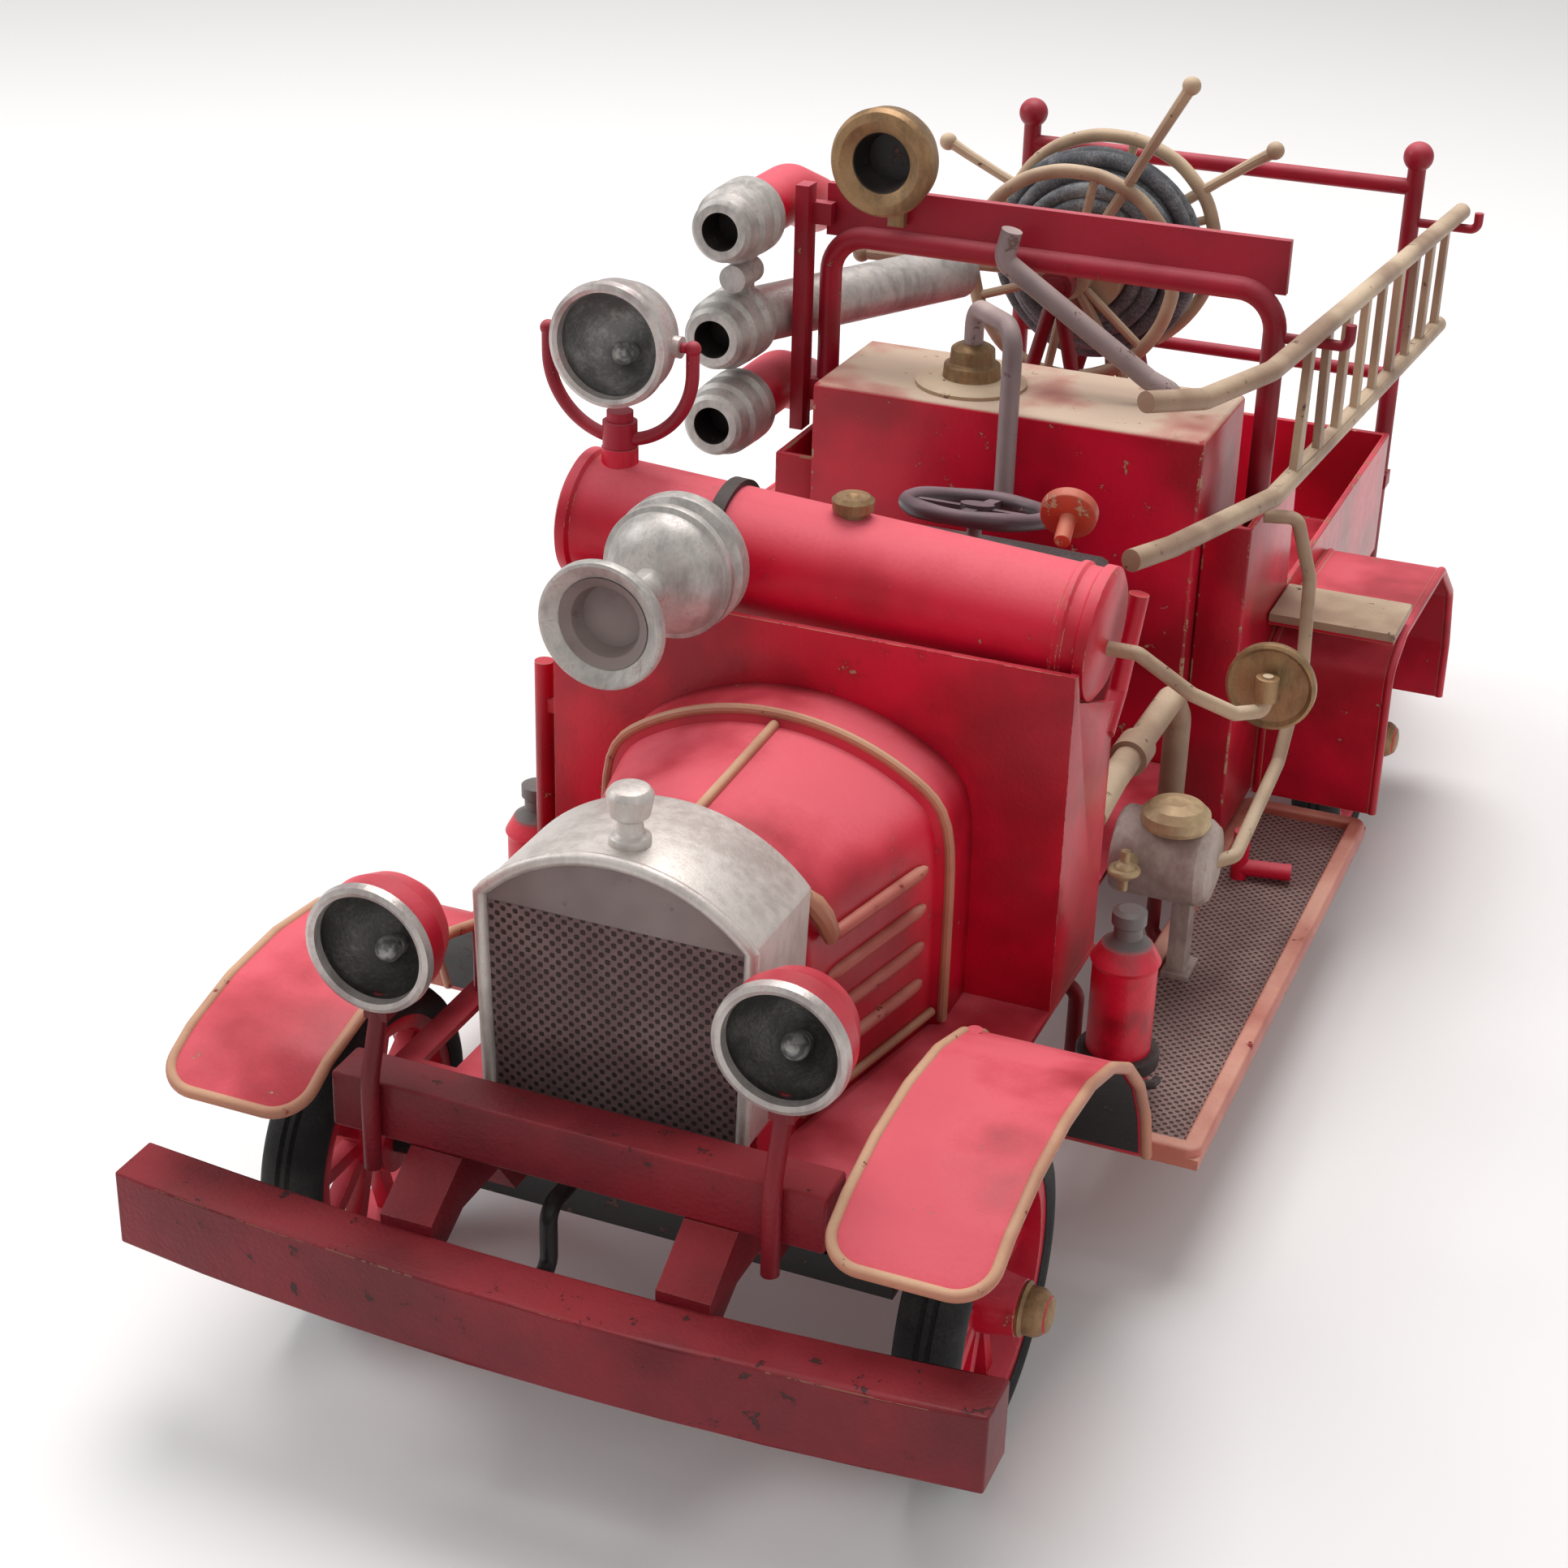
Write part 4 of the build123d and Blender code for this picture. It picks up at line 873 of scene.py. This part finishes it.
class ENGINE_OT_lamps(EngineTask):
    """Finishes the headlamps and searchlight with reflectors and bulbs"""

    bl_idname = "engine.lamps"
    bl_label = "Lamps"

    dish_line = [(-0.37, 0.86), (-0.36, 0.87), (-0.2, 0.845), (0.0, 0.75), (0.15, 0.65),
                 (0.30, 0.49), (0.43, 0.33), (0.46, 0.18), (0.50, 0)]
    bulb_line = [(0, 0), (0, 0.8), (1.6, 0.8), (1.9, 0.6), (2.6, 0.95), (3.6, 1), (4.8, 0.8),
                 (5.6, 0.4), (5.8, 0)]

    def build(self, context):
        bulb = context.scene.engine_lamps.bulb
        coated("headlamp_bowls", "red")
        coated("headlamp_rims", "rim")
        softened("headlamp_posts", 0.3, "maroon", "maroon_edge")
        coated("spot_lamp", "rim")
        coated("spot_yoke", "rail_red")
        for name, x in (("left", 37), ("right", -37)):
            self.inside(f"headlamp_{name}", at(x, 22, 94), 11.6, "body", bulb)
        self.inside("searchlight", at(-45.5, 131, 166), 12.0, "searchlight", bulb, "pale_dish")

    def inside(self, name, centre, r, body, bulb, finish="reflector"):
        """Dull dish just inside the bowl, with a bulb in a socket at its foot"""
        dish = bmesh.new()
        outline = [(along * r, across * r) for along, across in self.dish_line]
        lathe_into(dish, centre, (0, 1, 0), outline, 72)
        add_shape(dish, f"{name}_reflector", body, [finish], (), 60)
        lamp = bmesh.new()
        foot = centre + Vector((0, 0.40 * r * MM, -0.34 * r * MM))
        outline = [(along, bulb / MM * share) for along, share in self.bulb_line]
        lathe_into(lamp, foot, (0, -1, 0.25), outline, 24)
        add_shape(lamp, f"{name}_bulb", body, ["bulb"])


class ENGINE_OT_driver(EngineTask):
    """Finishes the steering, mirror, knob and seat"""

    bl_idname = "engine.driver"
    bl_label = "Driver's place"

    def build(self, context):
        coated("steering_wheel", "wheel_grey")
        self.rim()
        coated("steering_column", "grey")
        softened("dash_knob", 0.3, "orange")
        coated("mirror_arm", "ladder")
        softened("mirror", 0.3, "brass")
        coated("cross_tank_cap", "brass")
        self.cushion()

    def rim(self):
        """Padded grip round the steering wheel"""
        lean = math.radians(12)
        across = Vector((1, 0, 0))
        away = Vector((0, math.cos(lean), -math.sin(lean)))
        middle = at(17, 163, 130) + across.cross(away) * 1.2 * MM
        turns = [2 * math.pi * step / 72 for step in range(72)]
        ring = [middle + (across * math.cos(a) + away * math.sin(a)) * 14 * MM for a in turns]
        shape = bmesh.new()
        sweep_into(shape, ring, [1.75 + 0.12 * math.sin(5 * a) for a in turns], 12, True)
        add_shape(shape, "steering_grip", NODES["steering_wheel"]["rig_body"],
                  ["wheel_grey"])

    def cushion(self):
        """Stuffed squab with a crowned top, drawn-in sides and a piped seam"""
        low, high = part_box("seat_cushion")
        centre = (low + high) / 2
        half = (high - low) / 2
        shape = bmesh.new()
        bmesh.ops.create_cube(shape, size=2.0)
        bmesh.ops.subdivide_edges(shape, edges=shape.edges, cuts=23, use_grid_fill=True)
        for vert in shape.verts:
            vert.co = centre + self.stuffed(vert.co, half)
        add_shape(shape, "seat_squab", "body", ["leather"], ["seat_cushion"], 80)
        seam = bmesh.new()
        for height in (-0.62, 0.45):
            loop = []
            for step in range(96):
                angle = 2 * math.pi * step / 96
                flat = Vector((math.cos(angle), math.sin(angle), 0))
                flat /= max(abs(flat.x), abs(flat.y))
                flat.z = height
                loop.append(centre + self.stuffed(flat, half) * 1.004)
            sweep_into(seam, loop, 0.5, 8, True)
        add_shape(seam, "seat_piping", "body", ["leather"])

    def stuffed(self, unit, half):
        """Place on the squab, from its middle, for a place on a cube of half size 1"""
        x, y, z = unit
        across = 1 - abs(x) ** 4
        deep = 1 - abs(y) ** 4
        crown = 0.80 + 0.20 * across * deep
        tuft = 0.05 * math.cos(x * 3 * math.pi) * math.cos(y * math.pi / 2) * max(0.0, z)
        corner = 1 - 0.06 * (x * x * y * y)
        pull = 1 - 0.04 * (1 - z * z) * (abs(x) + abs(y)) / 2
        round_off = 1 - 0.07 * z ** 6
        crease = noise.noise(Vector((x * 2.2, y * 2.2, z * 1.5))) * 0.03
        height = z * crown - (tuft if z > 0 else 0) + crease * (1 if z > -0.9 else 0)
        return Vector((x * half.x * corner * round_off * pull,
                       y * half.y * corner * round_off * pull,
                       min(1.0, height) * half.z))


class ENGINE_OT_signals(EngineTask):
    """Finishes the siren and bell, the painted shade in the siren's grooves and inside the bell
    and nozzles, and the strap
    """

    bl_idname = "engine.signals"
    bl_label = "Siren and bell"

    siren_x, siren_z = -22, 133
    nozzle_mouths = ((-67.5, 228, 160.5), (-69.5, 229, 135.2), (-68, 226, 115.8))
    tank_slope = 0.0594

    def build(self, context):
        softened("siren", 0.3, "silver")
        softened("bell", 0.3, "brass")
        self.mouth()
        self.dark_parts()

    def mouth(self):
        """Darker funnel inside the siren's mouth: painted shade"""
        shape = bmesh.new()
        lathe_into(shape, at(self.siren_x, 0, self.siren_z), (0, 1, 0),
                   [(79.3, 0), (79.1, 5.8), (76.0, 6.7), (74.9, 8.6)])
        # The darker finish here is painted shade inside the mouth.
        add_shape(shape, "siren_mouth", "body", ["sunk"])

    def dark_parts(self):
        """Black bands in the siren's grooves and black cones inside the bell and nozzle mouths,
        all painted shade, and the tank's black strap
        """
        shape = bmesh.new()
        # Black bands in the siren's grooves: painted shade.
        for distance, radius in ((104.8, 11.6), (111.4, 10.4)):
            lathe_into(shape, at(self.siren_x, distance, self.siren_z), (0, 1, 0),
                       self.band(0.45, radius - 0.4, radius + 0.2))
        # Black cone inside the bell: painted shade.
        lathe_into(shape, at(-36, 0, 176), (0, 1, 0),
                   [(251.7, 0), (251.7, 5.4), (247, 6.2), (244.8, 6.6), (243.6, 8.8)])
        # Black discs inside the nozzle mouths: painted shade.
        for mouth in self.nozzle_mouths:
            lathe_into(shape, at(*mouth), (0, 1, 0), [(8.8, 0), (8.8, 4.1), (0.15, 4.3)], 48)
        lathe_into(shape, at(-22, 131, 128.1), (1, 0, -self.tank_slope),
                   self.band(1.4, 12.1, 13.2))
        add_shape(shape, "strap_and_painted_shade", "body", ["black"])

    def band(self, half, inner, outer):
        return [(-half, inner), (-half, outer), (half, outer), (half, inner)]


class ENGINE_OT_reel(EngineTask):
    """Builds the hose reel's rings, spokes and handles, and winds the hose"""

    bl_idname = "engine.reel"
    bl_label = "Hose reel"

    centre = (-14.0, 133.5)
    rings = ((325, 26, 62, 56), (358, 28, 35, 50))
    drum_radius = 12
    layers = ((334, 355), (336, 355.2), (337.5, 354.6), (342, 354))

    def build(self, context):
        self.frame_parts()
        self.hose(context.scene.engine_hose.thickness / MM)
        softened("reel_stand", 0.3, "maroon")

    def on_ring(self, distance, radius, degrees):
        angle = math.radians(degrees)
        x, z = self.centre
        return at(x + radius * math.cos(angle), distance, z + radius * math.sin(angle))

    def frame_parts(self):
        shape = bmesh.new()
        for distance, radius, first, reach in self.rings:
            self.ring(shape, distance, radius)
            self.handles(shape, distance, first, reach)
        drum = self.drum_radius
        lathe_into(shape, self.on_ring(341.5, 0, 0), (0, 1, 0),
                   [(-20.4, 2.6), (-20.4, 5.5), (-14.5, 5.5), (-14.5, drum), (14.5, drum),
                    (14.5, 5.5), (20.4, 5.5), (20.4, 2.6), (-20.4, 2.6)], 48)
        add_shape(shape, "reel_frame", "reel", ["ladder"], ["hose_reel"])

    def ring(self, shape, distance, radius):
        """One end of the reel: a slightly uneven ring on six spokes"""
        line = [self.on_ring(distance + 0.25 * math.sin(step), radius
                             + 0.3 * math.sin(2 * math.pi * step / 31), 360 * step / 96)
                for step in range(96)]
        sweep_into(shape, line, 1.75, 12, True)
        for spoke in range(6):
            line = [self.on_ring(distance, d, 20 + 60 * spoke) for d in (4, 12, 20, radius)]
            sweep_into(shape, line, 1.15, 10)

    def handles(self, shape, distance, first, reach):
        """Three bars that stick out past the ring, each with a knob on its end"""
        for degrees in (first, first + 120, first + 240):
            line = [self.on_ring(distance, d, degrees + 0.25 * math.sin(d))
                    for d in (4, 14, 24, 34, 44, reach - 2, reach)]
            sweep_into(shape, line, [1.4, 1.35, 1.45, 1.3, 1.4, 1.5, 1.9], 10)
            ball_into(shape, line[-1], 2.3)

    def hose(self, hose_radius):
        """Layers of turns, each a little uneven, heaped towards the far ring"""
        shape = bmesh.new()
        pitch = hose_radius * 2.06
        for layer, (near, far) in enumerate(self.layers):
            radius = self.drum_radius + hose_radius * (1.05 + 1.72 * layer)
            turns = int((far - near) / pitch)
            steps = turns * 48
            line = []
            for step in range(steps + 1):
                share = step / steps
                lift = 0.25 * math.sin(share * 57 + layer * 2) + 0.2 * math.sin(share * 23)
                distance = far - hose_radius - pitch * turns * share
                line.append(self.on_ring(distance, radius + lift,
                                         360 * turns * share + 40 * layer))
            sweep_into(shape, line, hose_radius, 10)
        add_shape(shape, "wound_hose", "reel", ["hose"], ["hose_coil"], 80)


class ENGINE_OT_gear(EngineTask):
    """Finishes the ladder, nozzles, pump, pipes and extinguishers"""

    bl_idname = "engine.gear"
    bl_label = "Fire-fighting gear"

    def build(self, context):
        softened("ladder", 0.3, "ladder", None, 0.5)
        softened("nozzles", 0.3, "silver")
        softened("long_tube", 0.3, "silver")
        softened("hose_ends", 0.4, "red")
        softened("pump", 0.4, "pump")
        coated("pump_fittings", "pale_brass")
        coated("pump_pipes", "ladder")
        coated("deck_pipes", "grey")
        softened("booster_filler", 0.3, "brass")
        softened("tail_lamp", 0.3, "brass")
        coated("extinguishers", "bottle")
        self.straps()
        plate = bmesh.new()
        lathe_into(plate, at(-13, 247, 127.9), (0, 0, 1),
                   [(0, 12.7), (0.9, 12.7), (1.4, 11.2), (1.7, 8.4), (1.9, 6.3)], 48)
        add_shape(plate, "filler_plate", "body", ["ladder"])

    def straps(self):
        """Black clamp bands round the extinguishers"""
        shape = bmesh.new()
        for side in (-1, 1):
            centre = at(side * 63.5, 129, 27.2)
            lathe_into(shape, centre, (0, 0, 1),
                       [(7.9, 6.3), (7.9, 7.8), (8.4, 8.2), (10.8, 8.2), (11.3, 7.8), (11.3, 6.3),
                        (7.9, 6.3)], 48)
            ends = [at(side * x, y, 36.7) for x, y in
                    ((66.4, 122.6), (68.4, 120.8), (71, 120.2), (73, 121), (73.3, 123))]
            sweep_into(shape, ends, [0.9, 1.0, 1.0, 1.0, 0.9], 10)
        add_shape(shape, "bottle_bands", "body", ["black"])


class ENGINE_OT_stage(EngineTask):
    """Lays the floor and sets the lights and camera"""

    bl_idname = "engine.stage"
    bl_label = "Stage"

    def build(self, context):
        s = context.scene.engine_stage
        self.floor(s)
        self.room()
        self.lights(s)
        self.camera(s)
        context.scene.view_settings.view_transform = "Standard"

    def floor(self, s):
        shape = bmesh.new()
        bmesh.ops.create_grid(shape, x_segments=24, y_segments=24, size=6.0)
        mesh = mesh_from(shape, "floor_shape")
        paper = Recipe("Pale paper", {"Specular IOR Level": 0.2})
        cloud = paper.noise(60, 3, 0.5)
        tone = tuple(s.floor)
        colour = paper.mix(tone, tuple(c * 0.985 for c in tone), cloud)
        mesh.materials.append(paper.finish(colour, 0.75 + cloud * 0.1))
        floor = bpy.data.objects.new("floor", mesh)
        bpy.context.scene.collection.objects.link(floor)

    def room(self):
        """Even light from all round"""
        world = bpy.data.worlds.new("Soft room")
        world.use_nodes = True
        background = world.node_tree.nodes["Background"]
        background.inputs["Color"].default_value = (1.0, 0.99, 0.98, 1)
        background.inputs["Strength"].default_value = 0.55
        bpy.context.scene.world = world

    def lights(self, s):
        for name, place, size, power, tint in (
                ("Overhead", (-0.15, 0.35, 1.25), 0.9, s.key, (1.0, 0.97, 0.96)),
                ("Window", (-1.1, -0.2, 0.8), 0.7, s.key * 0.40, (0.97, 0.98, 1.0)),
                ("Fill", (0.9, -1.0, 0.5), 1.0, s.key * 0.12, (1.0, 0.98, 0.96))):
            data = bpy.data.lights.new(name, "AREA")
            data.shape = "DISK"
            data.size = size
            data.energy = power
            data.color = tint
            lamp = bpy.data.objects.new(name, data)
            lamp.location = place
            lamp.rotation_mode = "QUATERNION"
            aim = Vector((0, 0, 0.08)) - Vector(place)
            lamp.rotation_quaternion = aim.to_track_quat("-Z", "Y")
            bpy.context.scene.collection.objects.link(lamp)

    def camera(self, s):
        data = bpy.data.cameras.new("Camera")
        data.sensor_width = 36.0
        data.lens = s.lens
        data.clip_start = 0.01
        data.clip_end = 30.0
        camera = bpy.data.objects.new("Camera", data)
        place = at(173.73, -325.08, 322.86)
        right = Vector((0.92298, 0.38403, 0.02501))
        up = Vector((-0.19128, 0.40141, 0.89570))
        back = right.cross(up)
        turn = Matrix((right, up, back)).transposed()
        camera.matrix_world = Matrix.Translation(place) @ turn.to_4x4()
        bpy.context.scene.collection.objects.link(camera)
        bpy.context.scene.camera = camera


STEPS = (ENGINE_OT_panels, ENGINE_OT_hood, ENGINE_OT_radiator, ENGINE_OT_fenders,
         ENGINE_OT_wheels, ENGINE_OT_lamps, ENGINE_OT_driver, ENGINE_OT_signals,
         ENGINE_OT_reel, ENGINE_OT_gear, ENGINE_OT_stage)
SETTINGS = {"engine_paints": EnginePaints, "engine_lamps": EngineLamps,
            "engine_hose": EngineHose, "engine_stage": EngineStage}


class ENGINE_PT_build(bpy.types.Panel):
    """Lists the settings and the build steps"""

    bl_idname = "ENGINE_PT_build"
    bl_label = "Fire Engine"
    bl_space_type = "VIEW_3D"
    bl_region_type = "UI"
    bl_category = "Fire Engine"

    def draw(self, context):
        for group, kind in SETTINGS.items():
            box = self.layout.box()
            for setting in kind.__annotations__:
                box.prop(getattr(context.scene, group), setting)
        for step in STEPS:
            self.layout.operator(step.bl_idname)


def register():
    for group, kind in SETTINGS.items():
        bpy.utils.register_class(kind)
        setattr(bpy.types.Scene, group, PointerProperty(type=kind))
    for step in STEPS:
        bpy.utils.register_class(step)
    bpy.utils.register_class(ENGINE_PT_build)


def unregister():
    bpy.utils.unregister_class(ENGINE_PT_build)
    for step in reversed(STEPS):
        bpy.utils.unregister_class(step)
    for group, kind in SETTINGS.items():
        delattr(bpy.types.Scene, group)
        bpy.utils.unregister_class(kind)


def main():
    register()
    for step in STEPS:
        name = step.bl_idname.split(".")[1]
        getattr(bpy.ops.engine, name)()


if __name__ == "__main__":
    main()
